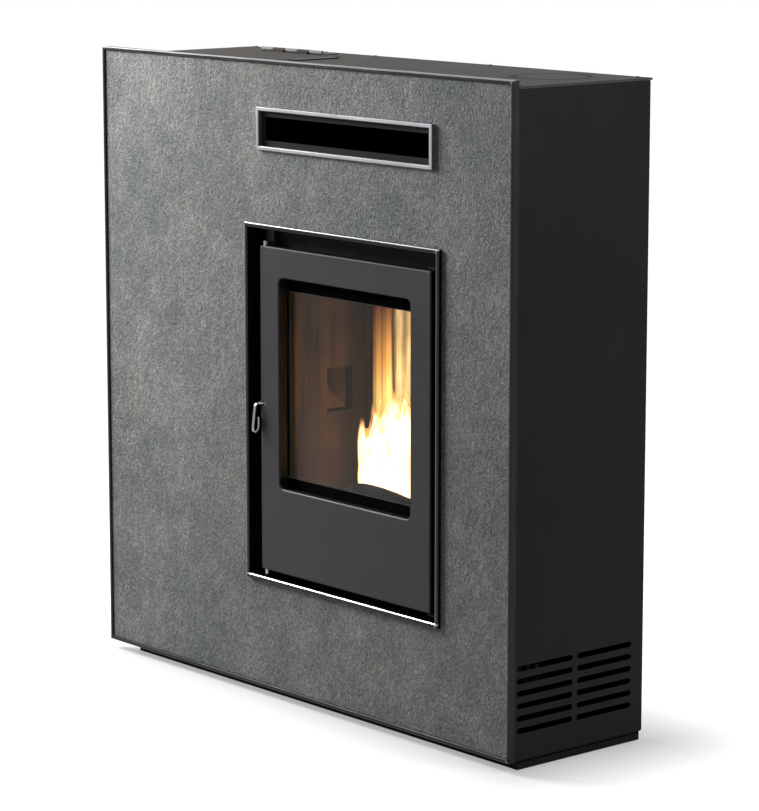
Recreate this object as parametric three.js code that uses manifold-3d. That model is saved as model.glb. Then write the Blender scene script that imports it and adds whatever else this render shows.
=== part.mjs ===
// Slim room-air pellet stove: a shallow black casing behind a stoneware front panel,
// with the firebox and its glazed door on the right and the pellet hopper on the left.
// Millimetres, +X right (seen from the front), +Y to the back, +Z up, floor at z = 0.
// Every piece is made with y = 0 at the perimeter trim's front, and the last lines centre the whole.
import * as THREE from 'three';
import { mergeVertices } from 'three/addons/utils/BufferGeometryUtils.js';
import Module from 'manifold-3d';

const wasm = await Module();
wasm.setup();

// ---------------------------------------------------------------- driving dimensions
const WIDTH = 1015;            // over the panel's perimeter trim
const HEIGHT = 1040;           // floor to the top of the perimeter trim
const DEPTH = 284;             // front of the perimeter trim to the casing's back
const GAP = 0.3;               // running gap between touching pieces
const SHEET = 1.5;             // casing sheet

const LEFT_INSET = 54;         // panel overhang past the casing on the left
const RIGHT_INSET = 2;         // panel overhang past the casing on the right
const PLINTH_HEIGHT = 16;
const PLINTH_SETBACK = 22;
const FOOT_LIFT = 2;           // skirt clearance above the floor
const TOP_DROP = 9.3;          // top cover below the perimeter trim
const TOP_LIP = 3.5;

const TRIM_FACE = 6;
const TRIM_DEPTH = 12;
const TRIM_CHAMFER = 1.2;
const SLAB_RECESS = 3;
const CARRIER_SHEET = 2;
const RETURN = 14;             // folded edge of a side cover

const LEFT_PIER = 393.25;      // panel left of the door opening
const RIGHT_PIER = 165.25;     // and right of it
const OPENING_BOTTOM = 202;
const LINTEL = 268.5;          // panel above the door opening
const OPENING_TRIM_FACE = 7;
const TRIM_PROUD = 3;          // door and outlet trims stand proud of the perimeter trim
const LINER = 2;

const LATCH_GAP = 22.95;       // opening's left edge to the door, with room for the handle
const HINGE_GAP = 19.95;
const SILL_GAP = 10.5;
const HEAD_GAP = 29;
const DOOR_FRONT = 5;
const DOOR_THICK = 17;
const DOOR_BEVEL = 1.8;
const STILE = 47.3;            // door left and right of the window
const TOP_RAIL = 47.5;
const BOTTOM_RAIL = 139.5;
const WINDOW_RADIUS = 10;
const GLASS_THICK = 4;
const RETAINER_THICK = 2.5;
const INNER_FRAME = 6;
const ROPE = 8;                // door rope seal

const LATCH_INSET = 8;         // latch rod's axis inside the door's left edge
const LATCH_RADIUS = 3.6;
const LATCH_REACH = 8;         // rod past the door's top and bottom edges
const HANDLE_RISE = 273.5;     // handle above the door's bottom edge
const HANDLE_DROP = 46;
const HANDLE_RADIUS = 2.6;
const LATCH_DEPTH = 6;         // rod's axis behind the door's face
const NOSE_REACH = 11;
const NOSE_THICK = 4;
const HINGE_INSET = 5;         // hinge axis inside the door's right edge
const HINGE_Y = 17;
const PIN_RADIUS = 3;
const PIN_DEPTH = 18;
const BRACKET = 3;

const OUTLET_INSET_LEFT = 24.45;   // air slot inside the door opening's edges
const OUTLET_INSET_RIGHT = 10.45;
const OUTLET_HEIGHT = 68.4;
const OUTLET_DROP = 74.8;
const OUTLET_TRIM_FACE = 6;
const OUTLET_FRAME_FACE = 9;
const OUTLET_FRAME_FRONT = 5;
const NOZZLE_REACH = 26;
const NOZZLE_SHEET = 3;

const FIREBOX_WALL = 3;
const FIREBOX_FRONT = 36;
const FIREBOX_REAR_ROOM = 58;  // firebox back to the casing's back
const FIREBOX_LIFT = 28;       // firebox floor above the opening's bottom
const FIREBOX_DROP = 46.5;     // firebox top below the opening's top
const FIREBOX_INSET = 14.8;    // firebox inside past the door's edges
const FLANGE_LAP = 5;
const ASH_SHELF = 330;         // hearth plate level
const LINING = 12;             // cast lining thickness
const RIB_COUNT = 15;
const RIB_DEPTH = 5;
const LINING_DROP = 13;
const POT_WIDTH = 116;
const POT_DEPTH = 88;
const POT_SINK = 52;
const PAN_DROP = 62;           // pan's rim below the hearth plate
const IGNITER_DROP = 34;       // igniter below the hearth plate
const STAND_FLANGE = 22;
const STAND_SHEET = 3;
const STAND_DEPTH = 52;
const STAND_HOLE = 16;
const GUARD_SHIFT = 17.5;      // guard's middle right of the door's
const GUARD_Y = 48;
const GUARD_RADIUS = 150;
const GUARD_SWEEP = 1.1;
const GUARD_HEIGHT = 50;
const GUARD_ARCH = 190;

const HOPPER_SIDE_ROOM = 29.5; // casing to the hopper
const HOPPER_FIRE_ROOM = 69.5; // hopper to the firebox
const HOPPER_FRONT = 44;
const HOPPER_REAR_ROOM = 22;
const HOPPER_STRAIGHT = 320;   // panel top to where the hopper starts to narrow
const HOPPER_FUNNEL = 200;
const HOPPER_SHEET = 1.5;
const THROAT_INSET = 132;
const GRID_DROP = 100;
const GRID_PITCH = 25;
const THROAT = 52;             // square throat over the auger

const AUGER_SETBACK = 3;       // auger in front of the hopper's middle
const AUGER_TAIL = 38;         // low end left of the throat
const AUGER_HEEL = 80;         // low end below the hopper's foot
const AUGER_CLIMB = 120;
const AUGER_FIRE_ROOM = 41.5;
const AUGER_RADIUS = 32;
const AUGER_WALL = 2;
const FLIGHT_PITCH = 44;
const FLIGHT_THICK = 3;
const AUGER_SHAFT = 8;
const GEARBOX = 30;            // radius
const GEARBOX_LENGTH = 24;
const GEARMOTOR = 72;

const DUCT_DEPTH = 40;
const DUCT_REAR_ROOM = 14;
const DUCT_BOTTOM = 196;

const BLOWER_SHIFT = 5.5;      // blower's middle left of the door's
const BLOWER_REAR_ROOM = 109;
const BLOWER_Z = 108;
const BLOWER_RADIUS = 36;
const BLOWER_SHORTER = 104;    // blower shorter than the firebox is wide
const BLOWER_SHAFT = 4;
const BLOWER_MOTOR = 52;
const BLOWER_MOTOR_RADIUS = 27;
const BLADE_CENTRE = 40;
const BLADE_CURVE = 15;
const BLOWER_BLADES = 14;
const SCROLL_CLEAR = 5;

const FLUE_INSET = 113.2;      // flue axis inside the casing's right side
const FLUE_REAR_ROOM = 98.3;
const KNOCKOUT_RADIUS = 58.7;
const FLUE_RADIUS = 40;
const FLUE_STUB = 24;
const PIPE_CLEAR = 3;
const FLUE_DROP = 63;          // socket's axis below the fan's
const FLUE_FLANGE = 8;
const FAN_Y = 120;
const FAN_DROP = 30;           // fan's axis below the hearth plate
const FAN_RADIUS = 54;
const FAN_WIDTH = 36;
const SMOKE_MOTOR = 52;
const SMOKE_MOTOR_RADIUS = 30;
const FAN_BLADES = 12;
const FAN_SHAFT = 5;
const VOLUTE_REACH = 36;
const SMOKE_DUCT = 33;

const AIR_INSET = 21.5;        // air pipe inside the firebox's right wall
const AIR_Z = 74;
const AIR_RADIUS = 25;
const AIR_STUB = 20;
const HOSE_REAR_ROOM = 22;
const HOSE_RISER = 112;        // hose's upright run to the casing's back
const HOSE_RIBS = 10;
const HOSE_SIDES = 10;

const SLOT_ROWS = 6;
const SLOT_PITCH = 19.3;
const SLOT_HEIGHT = 9;
const SLOT_LOW = 62.5;
const SLOT_FRONT = 18;
const SLOT_REAR = 25.5;
const SLOT_BRIDGE = 9.5;

const LID_INSET_LEFT = 12;     // lid inside the hopper's left and right walls
const LID_INSET_RIGHT = 4;
const LID_FRONT = 100;
const LID_INSET_BACK = 36;
const LID_THICK = 3;
const LID_RADIUS = 6;
const LID_PROUD = 0.6;
const GASKET = 3;
const GASKET_WIDTH = 12;
const PIVOT = 1.3;
const LEAF_WIDTH = 160;
const LEAF_DEPTH = 34;
const KNUCKLE = 3.2;
const SEAM = 1.2;

const FOOT_RADIUS = 17;
const FOOT_INSET = 46;

const INLET_INSET = 123.5;
const INLET_Z = 74;
const INLET_WIDTH = 50;
const INLET_HEIGHT = 30;
const SWITCH_SHIFT = 13;
const DISPLAY_WIDTH = 24;
const BOARD_FRONT = 60;
const BOARD_LOW = 70;
const BOARD_DEPTH = 150;
const BOARD_HEIGHT = 180;
const BOARD_THICK = 1.6;
const BOARD_POST = 3;
const POST_LENGTH = 8;
const CHIP_TALL = 26;

const LOUVRES = 9;
const LOUVRE_SHIFT = 25.5;     // louvres' middle left of the door's
const LOUVRE_LENGTH = 180;
const LOUVRE_HEIGHT = 6;
const LOUVRE_LOW = 44;
const LOUVRE_PITCH = 13;

// ---------------------------------------------------------------- derived places
const CASE_LEFT = -WIDTH / 2 + LEFT_INSET;
const CASE_RIGHT = WIDTH / 2 - RIGHT_INSET;
const CASE_FRONT = TRIM_DEPTH + GAP;
const TOP_Z = HEIGHT - TOP_DROP;
const SLAB_BACK = TRIM_DEPTH;
const CARRIER_BACK = CASE_FRONT + CARRIER_SHEET;
const OPENING_LEFT = -WIDTH / 2 + LEFT_PIER;
const OPENING_RIGHT = WIDTH / 2 - RIGHT_PIER;
const OPENING_TOP = HEIGHT - LINTEL;
const DOOR_LEFT = OPENING_LEFT + LATCH_GAP;
const DOOR_RIGHT = OPENING_RIGHT - HINGE_GAP;
const DOOR_X = (DOOR_LEFT + DOOR_RIGHT) / 2;
const DOOR_BOTTOM = OPENING_BOTTOM + SILL_GAP;
const DOOR_TOP = OPENING_TOP - HEAD_GAP;
const DOOR_BACK = DOOR_FRONT + DOOR_THICK;
const HANDLE_Z = DOOR_BOTTOM + HANDLE_RISE;
const WINDOW_LEFT = DOOR_LEFT + STILE;
const WINDOW_RIGHT = DOOR_RIGHT - STILE;
const WINDOW_BOTTOM = DOOR_BOTTOM + BOTTOM_RAIL;
const WINDOW_TOP = DOOR_TOP - TOP_RAIL;
const FIREBOX_LEFT = DOOR_LEFT + FIREBOX_INSET;
const FIREBOX_RIGHT = DOOR_RIGHT - FIREBOX_INSET;
const FIREBOX_BACK = DEPTH - FIREBOX_REAR_ROOM;
const FIREBOX_BOTTOM = OPENING_BOTTOM + FIREBOX_LIFT;
const FIREBOX_TOP = OPENING_TOP - FIREBOX_DROP;
const LINING_TOP = FIREBOX_TOP - LINING_DROP;
const PAN_TOP = ASH_SHELF - PAN_DROP;
const GUARD_X = DOOR_X + GUARD_SHIFT;
const OUTLET_LEFT = OPENING_LEFT + OUTLET_INSET_LEFT;
const OUTLET_RIGHT = OPENING_RIGHT - OUTLET_INSET_RIGHT;
const OUTLET_TOP = HEIGHT - OUTLET_DROP;
const OUTLET_BOTTOM = OUTLET_TOP - OUTLET_HEIGHT;
const HOPPER_LEFT = CASE_LEFT + HOPPER_SIDE_ROOM;
const HOPPER_RIGHT = FIREBOX_LEFT - HOPPER_FIRE_ROOM;
const HOPPER_BACK = DEPTH - HOPPER_REAR_ROOM;
const HOPPER_KNEE = HEIGHT - HOPPER_STRAIGHT;
const HOPPER_FOOT = HOPPER_KNEE - HOPPER_FUNNEL;
const THROAT_X = HOPPER_LEFT + THROAT_INSET;
const GRID_Z = HEIGHT - GRID_DROP;
const AUGER_Y = (HOPPER_FRONT + HOPPER_BACK) / 2 - AUGER_SETBACK;
const AUGER_LOW = new THREE.Vector3(THROAT_X - AUGER_TAIL, AUGER_Y, HOPPER_FOOT - AUGER_HEEL);
const AUGER_HIGH = new THREE.Vector3(FIREBOX_LEFT - AUGER_FIRE_ROOM, AUGER_Y,
  AUGER_LOW.z + AUGER_CLIMB);
const DUCT_BACK = DEPTH - DUCT_REAR_ROOM;
const DUCT_FRONT = DUCT_BACK - DUCT_DEPTH;
const BLOWER_X = DOOR_X - BLOWER_SHIFT;
const BLOWER_Y = DEPTH - BLOWER_REAR_ROOM;
const BLOWER_LENGTH = FIREBOX_RIGHT - FIREBOX_LEFT - BLOWER_SHORTER;
const FAN_Z = ASH_SHELF - FAN_DROP;
const FLUE_Z = FAN_Z - FLUE_DROP;
const FLUE_X = CASE_RIGHT - FLUE_INSET;
const FLUE_Y = DEPTH - FLUE_REAR_ROOM;
const AIR_X = FIREBOX_RIGHT - AIR_INSET;
const HOSE_START = DEPTH - HOSE_REAR_ROOM;
const HOSE_Y = DEPTH - HOSE_RISER;
const SLOT_LENGTH = (DEPTH - SLOT_REAR - SLOT_FRONT - SLOT_BRIDGE) / 2;
const LID_LEFT = HOPPER_LEFT + LID_INSET_LEFT;
const LID_RIGHT = HOPPER_RIGHT - LID_INSET_RIGHT;
const LID_BACK = HOPPER_BACK - LID_INSET_BACK;
const INLET_X = CASE_LEFT + INLET_INSET;
const SWITCH_X = INLET_X + SWITCH_SHIFT;
const LOUVRE_X = DOOR_X - LOUVRE_SHIFT;
const FLOOR_TOP = PLINTH_HEIGHT + SHEET;
const LATCH = { x: DOOR_LEFT + LATCH_INSET, y: DOOR_FRONT + LATCH_DEPTH };
const HINGE = { x: DOOR_RIGHT - HINGE_INSET, y: HINGE_Y };
const LINER_BACK = FIREBOX_FRONT - GAP;
const LID_AXIS = { y: LID_BACK + 2, z: TOP_Z + KNUCKLE + 0.6 };
const REAR_INNER = DEPTH - SHEET;

// ---------------------------------------------------------------- materials
const finish = (color, roughness, metalness) =>
  new THREE.MeshStandardMaterial({ color, roughness, metalness });
const BLACK_PAINT = finish(0x2b2c2e, 0.55, 0.3);
const BROWN_PAINT = finish(0x4a423c, 0.5, 0.3);
const GRAPHITE = finish(0x3c3d3f, 0.6, 0.4);
const ANODISED = finish(0x55585c, 0.35, 0.8);
const SATIN = finish(0xb9bcc0, 0.35, 0.9);
const POLISHED = finish(0xd8dadc, 0.15, 1);
const STONEWARE = finish(0x66696a, 0.85, 0);
const ZINC = finish(0x9a9d9f, 0.45, 0.8);
const CAST = finish(0x2f2d2b, 0.8, 0.4);
const VERMICULITE = finish(0x6b5a48, 0.9, 0);
const PLASTIC = finish(0x1d1e20, 0.5, 0);
const BOARD_GREEN = finish(0x1f5a3a, 0.6, 0);
const ROPE_GREY = finish(0x5b5a57, 0.95, 0);
const GLASS = new THREE.MeshStandardMaterial({
  color: 0x9a8f80, roughness: 0.08, metalness: 0, transparent: true, opacity: 0.35,
});

// ---------------------------------------------------------------- shape helpers
function rectangle(x0, y0, x1, y1, radius = 0) {
  const shape = new THREE.Shape();
  if (radius <= 0) {
    return shape.moveTo(x0, y0).lineTo(x1, y0).lineTo(x1, y1).lineTo(x0, y1).closePath();
  }
  shape.moveTo(x0 + radius, y0);
  shape.lineTo(x1 - radius, y0).absarc(x1 - radius, y0 + radius, radius, -Math.PI / 2, 0);
  shape.lineTo(x1, y1 - radius).absarc(x1 - radius, y1 - radius, radius, 0, Math.PI / 2);
  shape.lineTo(x0 + radius, y1).absarc(x0 + radius, y1 - radius, radius, Math.PI / 2, Math.PI);
  shape.lineTo(x0, y0 + radius).absarc(x0 + radius, y0 + radius, radius, Math.PI, 1.5 * Math.PI);
  return shape;
}

function circle(x, y, radius) {
  const shape = new THREE.Shape();
  for (let quarter = 0; quarter < 4; quarter += 1) {
    shape.absarc(x, y, radius, (quarter * Math.PI) / 2, ((quarter + 1) * Math.PI) / 2);
  }
  return shape;
}

function outline(points) {
  return new THREE.Shape(points.map(([x, y]) => new THREE.Vector2(x, y)));
}

function withHoles(shape, ...holes) {
  shape.holes.push(...holes);
  return shape;
}

function extrude(shape, depth, bevel, curveSegments) {
  const inset = bevel > 0;
  const geometry = new THREE.ExtrudeGeometry(shape, {
    depth: depth - (inset ? 2 * bevel : 0), curveSegments,
    bevelEnabled: inset, bevelThickness: bevel, bevelSize: bevel, bevelOffset: -bevel,
    bevelSegments: 1,
  });
  return geometry.translate(0, 0, inset ? bevel : 0);
}

// A shape drawn in X and Z, with its front face at yFront.
function alongY(shape, yFront, depth, bevel = 0, curveSegments = 2) {
  const geometry = extrude(shape, depth, bevel, curveSegments);
  return geometry.rotateX(Math.PI / 2).translate(0, yFront + depth, 0);
}

// A shape drawn in Y and Z, from x upwards.
function alongX(shape, x, depth, bevel = 0, curveSegments = 2) {
  const turn = new THREE.Matrix4().makeBasis(
    new THREE.Vector3(0, 1, 0), new THREE.Vector3(0, 0, 1), new THREE.Vector3(1, 0, 0));
  return extrude(shape, depth, bevel, curveSegments).applyMatrix4(turn).translate(x, 0, 0);
}

// A shape drawn in X and Y, from z upwards.
function alongZ(shape, z, depth, bevel = 0, curveSegments = 2) {
  return extrude(shape, depth, bevel, curveSegments).translate(0, 0, z);
}

function block(x0, x1, y0, y1, z0, z1) {
  return new THREE.BoxGeometry(x1 - x0, y1 - y0, z1 - z0)
    .translate((x0 + x1) / 2, (y0 + y1) / 2, (z0 + z1) / 2);
}

// A cylinder between two points.
function rod(start, end, radius, segments = 14) {
  const along = new THREE.Vector3().subVectors(end, start);
  const turn = new THREE.Quaternion().setFromUnitVectors(
    new THREE.Vector3(0, 1, 0), along.clone().normalize());
  const middle = new THREE.Vector3().addVectors(start, end).multiplyScalar(0.5);
  return new THREE.CylinderGeometry(radius, radius, along.length(), segments)
    .applyQuaternion(turn).translate(middle.x, middle.y, middle.z);
}

const point = (x, y, z) => new THREE.Vector3(x, y, z);

// A closed solid through a list of rings that have equal numbers of points.
function loft(rings) {
  const count = rings[0].length;
  const positions = rings.flat().flatMap((p) => [p.x, p.y, p.z]);
  const index = [];
  for (let i = 0; i + 1 < rings.length; i += 1) {
    for (let j = 0; j < count; j += 1) {
      const a = i * count + j;
      const b = i * count + (j + 1) % count;
      index.push(a, b, b + count, a, b + count, a + count);
    }
  }
  const last = (rings.length - 1) * count;
  for (let j = 1; j + 1 < count; j += 1) {
    index.push(0, j + 1, j, last, last + j, last + j + 1);
  }
  const geometry = new THREE.BufferGeometry();
  geometry.setAttribute('position', new THREE.Float32BufferAttribute(positions, 3));
  geometry.setIndex(index);
  return geometry;
}

const ringAt = (x0, x1, y0, y1, z) =>
  [point(x0, y0, z), point(x1, y0, z), point(x1, y1, z), point(x0, y1, z)];

// ---------------------------------------------------------------- joins and cuts
function solid(geometry) {
  const bare = geometry.clone();
  bare.deleteAttribute('normal');
  bare.deleteAttribute('uv');
  const merged = mergeVertices(bare, 1e-4);
  return new wasm.Manifold(new wasm.Mesh({
    numProp: 3,
    vertProperties: new Float32Array(merged.attributes.position.array),
    triVerts: new Uint32Array(merged.index.array),
  }));
}

function fromSolid(manifold) {
  const mesh = manifold.getMesh();
  const geometry = new THREE.BufferGeometry();
  geometry.setAttribute('position', new THREE.BufferAttribute(mesh.vertProperties, 3));
  geometry.setIndex(new THREE.BufferAttribute(mesh.triVerts, 1));
  const flat = geometry.toNonIndexed();
  flat.computeVertexNormals();
  return flat;
}

const join = (first, ...others) =>
  fromSolid(others.reduce((sum, part) => sum.add(solid(part)), solid(first)));
const cut = (body, ...tools) =>
  fromSolid(tools.reduce((rest, tool) => rest.subtract(solid(tool)), solid(body)));

const stove = new THREE.Group();
function add(name, geometry, material) {
  const mesh = new THREE.Mesh(geometry, material);
  mesh.name = name;
  stove.add(mesh);
  return mesh;
}

// ---------------------------------------------------------------- plinth and feet
function baseTray() {
  const front = PLINTH_SETBACK;
  const back = DEPTH - 4;
  const left = CASE_LEFT + 2;
  const right = CASE_RIGHT - 2;
  const shell = block(left, right, front, back, FOOT_LIFT, FLOOR_TOP);
  const hollow = block(left + SHEET, right - SHEET, front + SHEET, back - SHEET,
    FOOT_LIFT - 1, FLOOR_TOP - SHEET);
  const stud = FOOT_RADIUS * 0.3 + GAP;
  const holes = footPlaces().map(([x, y]) => alongZ(circle(x, y, stud), 0, FLOOR_TOP + 1));
  return cut(shell, hollow, ...holes);
}

function footPlaces() {
  const xs = [CASE_LEFT + FOOT_INSET, CASE_RIGHT - FOOT_INSET];
  const ys = [PLINTH_SETBACK + FOOT_INSET, DEPTH - FOOT_INSET];
  return ys.flatMap((y) => xs.map((x) => [x, y]));
}

// A levelling foot: rubber-edged pad, hexagon nut under the tray and a threaded stud.
function levellingFoot() {
  const stud = FOOT_RADIUS * 0.3;
  const under = FLOOR_TOP - SHEET - GAP;
  const profile = [
    [0, 0], [FOOT_RADIUS, 0], [FOOT_RADIUS, 3], [FOOT_RADIUS - 2, 6], [stud + 2, 8],
    [stud, 9], [stud, FLOOR_TOP + 14], [stud - 1, FLOOR_TOP + 15], [0, FLOOR_TOP + 15],
  ].map(([r, z]) => new THREE.Vector2(r, z));
  const turned = new THREE.LatheGeometry(profile, 12).rotateX(Math.PI / 2);
  const nut = new THREE.CylinderGeometry(stud * 1.9, stud * 1.9, 4, 6).rotateX(Math.PI / 2);
  return join(turned, nut.translate(0, 0, under - 2));
}

add('base_tray', baseTray(), BLACK_PAINT);
footPlaces().forEach(([x, y], i) => {
  const names = ['front_left', 'front_right', 'rear_left', 'rear_right'];
  add(`levelling_foot_${names[i]}`, levellingFoot(), ZINC).position.set(x, y, 0);
});

// ---------------------------------------------------------------- casing
function sideCover(outerX, inwards) {
  // Folded sheet in plan: a wall with a return at the front and at the back.
  const lip = RETURN;
  const x = (inset) => outerX + inwards * inset;
  const y0 = CASE_FRONT;
  const y1 = DEPTH - SHEET - GAP;
  const plan = [
    [x(0), y0], [x(lip), y0], [x(lip), y0 + SHEET], [x(SHEET), y0 + SHEET],
    [x(SHEET), y1 - SHEET], [x(lip), y1 - SHEET], [x(lip), y1], [x(0), y1],
  ];
  const bottom = PLINTH_HEIGHT + 0.5;
  const top = TOP_Z - SHEET - GAP;
  return alongZ(outline(inwards > 0 ? plan : plan.reverse()), bottom, top - bottom);
}

function airSlots() {
  const slots = [];
  for (let row = 0; row < SLOT_ROWS; row += 1) {
    const z = SLOT_LOW + row * SLOT_PITCH;
    for (const y of [SLOT_FRONT, SLOT_FRONT + SLOT_LENGTH + SLOT_BRIDGE]) {
      const half = SLOT_HEIGHT / 2;
      slots.push(alongX(rectangle(y, z - half, y + SLOT_LENGTH, z + half, half - 0.01),
        CASE_RIGHT - 2 * SHEET, 4 * SHEET));
    }
  }
  return slots;
}

function topCover() {
  const plate = block(CASE_LEFT - 2, CASE_RIGHT + 2, CASE_FRONT, DEPTH + 1.5,
    TOP_Z - TOP_LIP, TOP_Z);
  const under = block(CASE_LEFT - 2 + SHEET, CASE_RIGHT + 2 - SHEET, CASE_FRONT - 1,
    DEPTH + 1.5 - SHEET, TOP_Z - TOP_LIP - 1, TOP_Z - SHEET);
  const fillMouth = alongZ(rectangle(LID_LEFT - SEAM, LID_FRONT - SEAM, LID_RIGHT + SEAM,
    LID_BACK + SEAM, LID_RADIUS), TOP_Z - 10, 20);
  const flueHole = alongZ(circle(FLUE_X, FLUE_Y, KNOCKOUT_RADIUS + GAP), TOP_Z - 10, 20, 0, 6);
  return cut(plate, under, fillMouth, flueHole);
}

function rearPanel() {
  const shape = withHoles(
    rectangle(CASE_LEFT + GAP, PLINTH_HEIGHT + 0.5, CASE_RIGHT - GAP, TOP_Z - TOP_LIP - GAP, 2),
    circle(FLUE_X, FLUE_Z, FLUE_RADIUS + PIPE_CLEAR),
    circle(AIR_X, AIR_Z, AIR_RADIUS + PIPE_CLEAR),
    rectangle(INLET_X - INLET_WIDTH / 2 - GAP, INLET_Z - INLET_HEIGHT / 2 - GAP,
      INLET_X + INLET_WIDTH / 2 + GAP, INLET_Z + INLET_HEIGHT / 2 + GAP));
  const louvres = [];
  for (let i = 0; i < LOUVRES; i += 1) {
    const z = LOUVRE_LOW + i * LOUVRE_PITCH;
    louvres.push(alongY(rectangle(LOUVRE_X - LOUVRE_LENGTH / 2, z, LOUVRE_X + LOUVRE_LENGTH / 2,
      z + LOUVRE_HEIGHT, LOUVRE_HEIGHT / 2 - 0.01), REAR_INNER - 1, SHEET + 2, 0, 1));
  }
  return cut(alongY(shape, REAR_INNER, SHEET, 0, 3), ...louvres);
}

// The knock-out blank: a pressed disc with a centre dimple, seated in the top cover's hole.
function flueKnockout() {
  const r = KNOCKOUT_RADIUS;
  const profile = [
    [0, -SHEET], [r - 0.6, -SHEET], [r, -SHEET + 0.4], [r, -0.3], [r - 0.3, 0],
    [3, 0], [1.5, -0.8], [0, -0.8],
  ].map(([radius, z]) => new THREE.Vector2(radius, z));
  return new THREE.LatheGeometry(profile, 36).rotateX(Math.PI / 2);
}

add('side_cover_left', sideCover(CASE_LEFT, 1), BLACK_PAINT);
add('side_cover_right', cut(sideCover(CASE_RIGHT, -1), ...airSlots()), BLACK_PAINT);
add('top_cover', topCover(), BROWN_PAINT);
add('rear_panel', rearPanel(), BLACK_PAINT);
add('flue_knockout', flueKnockout(), BROWN_PAINT).position.set(FLUE_X, FLUE_Y, TOP_Z);

// ---------------------------------------------------------------- front panel
const OUTLET_HOLE = {
  left: OUTLET_LEFT - GAP, right: OUTLET_RIGHT + GAP,
  bottom: OUTLET_BOTTOM - GAP, top: OUTLET_TOP + GAP,
};
const DOOR_HOLE = {
  left: OPENING_LEFT - OPENING_TRIM_FACE - GAP, right: OPENING_RIGHT + OPENING_TRIM_FACE + GAP,
  bottom: OPENING_BOTTOM - OPENING_TRIM_FACE - GAP, top: OPENING_TOP + OPENING_TRIM_FACE + GAP,
};
const holeIn = ({ left, right, bottom, top }) => rectangle(left, bottom, right, top);

function frontCarrier() {
  const inset = RETURN + GAP;
  const sheet = withHoles(
    rectangle(CASE_LEFT + inset, PLINTH_HEIGHT + 4, CASE_RIGHT - inset, TOP_Z - SHEET - 2 * GAP - 2, 2),
    holeIn(OUTLET_HOLE), holeIn(DOOR_HOLE));
  return alongY(sheet, CASE_FRONT, CARRIER_SHEET);
}

function stoneSlab() {
  const edge = TRIM_FACE + GAP;
  const shape = withHoles(
    rectangle(-WIDTH / 2 + edge, PLINTH_HEIGHT + edge, WIDTH / 2 - edge, HEIGHT - edge),
    holeIn(OUTLET_HOLE), holeIn(DOOR_HOLE));
  return alongY(shape, SLAB_RECESS, SLAB_BACK - SLAB_RECESS);
}

// A mitred section that is carried round a rectangle, its section given as inset and depth.
function mitredFrame(x0, z0, x1, z1, section) {
  const corners = [[x0, z0, 1, 1], [x1, z0, -1, 1], [x1, z1, -1, -1], [x0, z1, 1, -1]];
  const count = section.length;
  const positions = [];
  for (const [x, z, sx, sz] of corners) {
    for (const [inset, y] of section) positions.push(x + sx * inset, y, z + sz * inset);
  }
  const index = [];
  for (let i = 0; i < 4; i += 1) {
    for (let j = 0; j < count; j += 1) {
      const a = i * count + j;
      const b = i * count + (j + 1) % count;
      const c = ((i + 1) % 4) * count + (j + 1) % count;
      const d = ((i + 1) % 4) * count + j;
      index.push(a, b, c, a, c, d);
    }
  }
  const geometry = new THREE.BufferGeometry();
  geometry.setAttribute('position', new THREE.Float32BufferAttribute(positions, 3));
  geometry.setIndex(index);
  return geometry;
}

// Sections run from the outer front corner to the back, then round by the inner edge.
function trimSection(face, front, back, chamfer) {
  return [
    [0, front + chamfer], [0, back], [face, back], [face, front + chamfer],
    [face - chamfer, front], [chamfer, front],
  ];
}

function doorOpeningTrim() {
  const face = OPENING_TRIM_FACE;
  const c = TRIM_CHAMFER;
  const section = [
    [0, -TRIM_PROUD + c], [0, SLAB_BACK + CARRIER_SHEET], [face - LINER, SLAB_BACK + CARRIER_SHEET],
    [face - LINER, LINER_BACK], [face, LINER_BACK], [face, -TRIM_PROUD + c],
    [face - c, -TRIM_PROUD], [c, -TRIM_PROUD],
  ];
  return join(mitredFrame(OPENING_LEFT - face, OPENING_BOTTOM - face, OPENING_RIGHT + face,
    OPENING_TOP + face, section), latchStrike());
}

// The strike that the latch nose closes against, standing in the liner above the door.
function latchStrike() {
  const y = LATCH.y + NOSE_REACH + GAP;
  return block(LATCH.x - 8, LATCH.x + 8, y, y + 2.5, DOOR_TOP + 2, OPENING_TOP + LINER / 2);
}

add('front_carrier', frontCarrier(), BLACK_PAINT);
add('stone_slab', stoneSlab(), STONEWARE);
add('perimeter_trim', mitredFrame(-WIDTH / 2, PLINTH_HEIGHT, WIDTH / 2, HEIGHT,
  trimSection(TRIM_FACE, 0, TRIM_DEPTH, TRIM_CHAMFER)), ANODISED);
add('door_opening_trim', doorOpeningTrim(), ANODISED);
add('outlet_trim', mitredFrame(OUTLET_LEFT, OUTLET_BOTTOM, OUTLET_RIGHT, OUTLET_TOP,
  trimSection(OUTLET_TRIM_FACE, -TRIM_PROUD, SLAB_BACK, TRIM_CHAMFER)), SATIN);

// ---------------------------------------------------------------- door
const rect = (grow, radius = 0) => (x0, z0, x1, z1) =>
  rectangle(x0 - grow, z0 - grow, x1 + grow, z1 + grow, radius);
const doorEdge = (grow, radius) =>
  rect(grow, radius)(DOOR_LEFT, DOOR_BOTTOM, DOOR_RIGHT, DOOR_TOP);
const windowEdge = (grow, radius) =>
  rect(grow, radius)(WINDOW_LEFT, WINDOW_BOTTOM, WINDOW_RIGHT, WINDOW_TOP);
const GLASS_LAP = 11;
const INNER_FRONT = DOOR_BACK + GAP;
const INNER_BACK = INNER_FRONT + INNER_FRAME;

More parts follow.
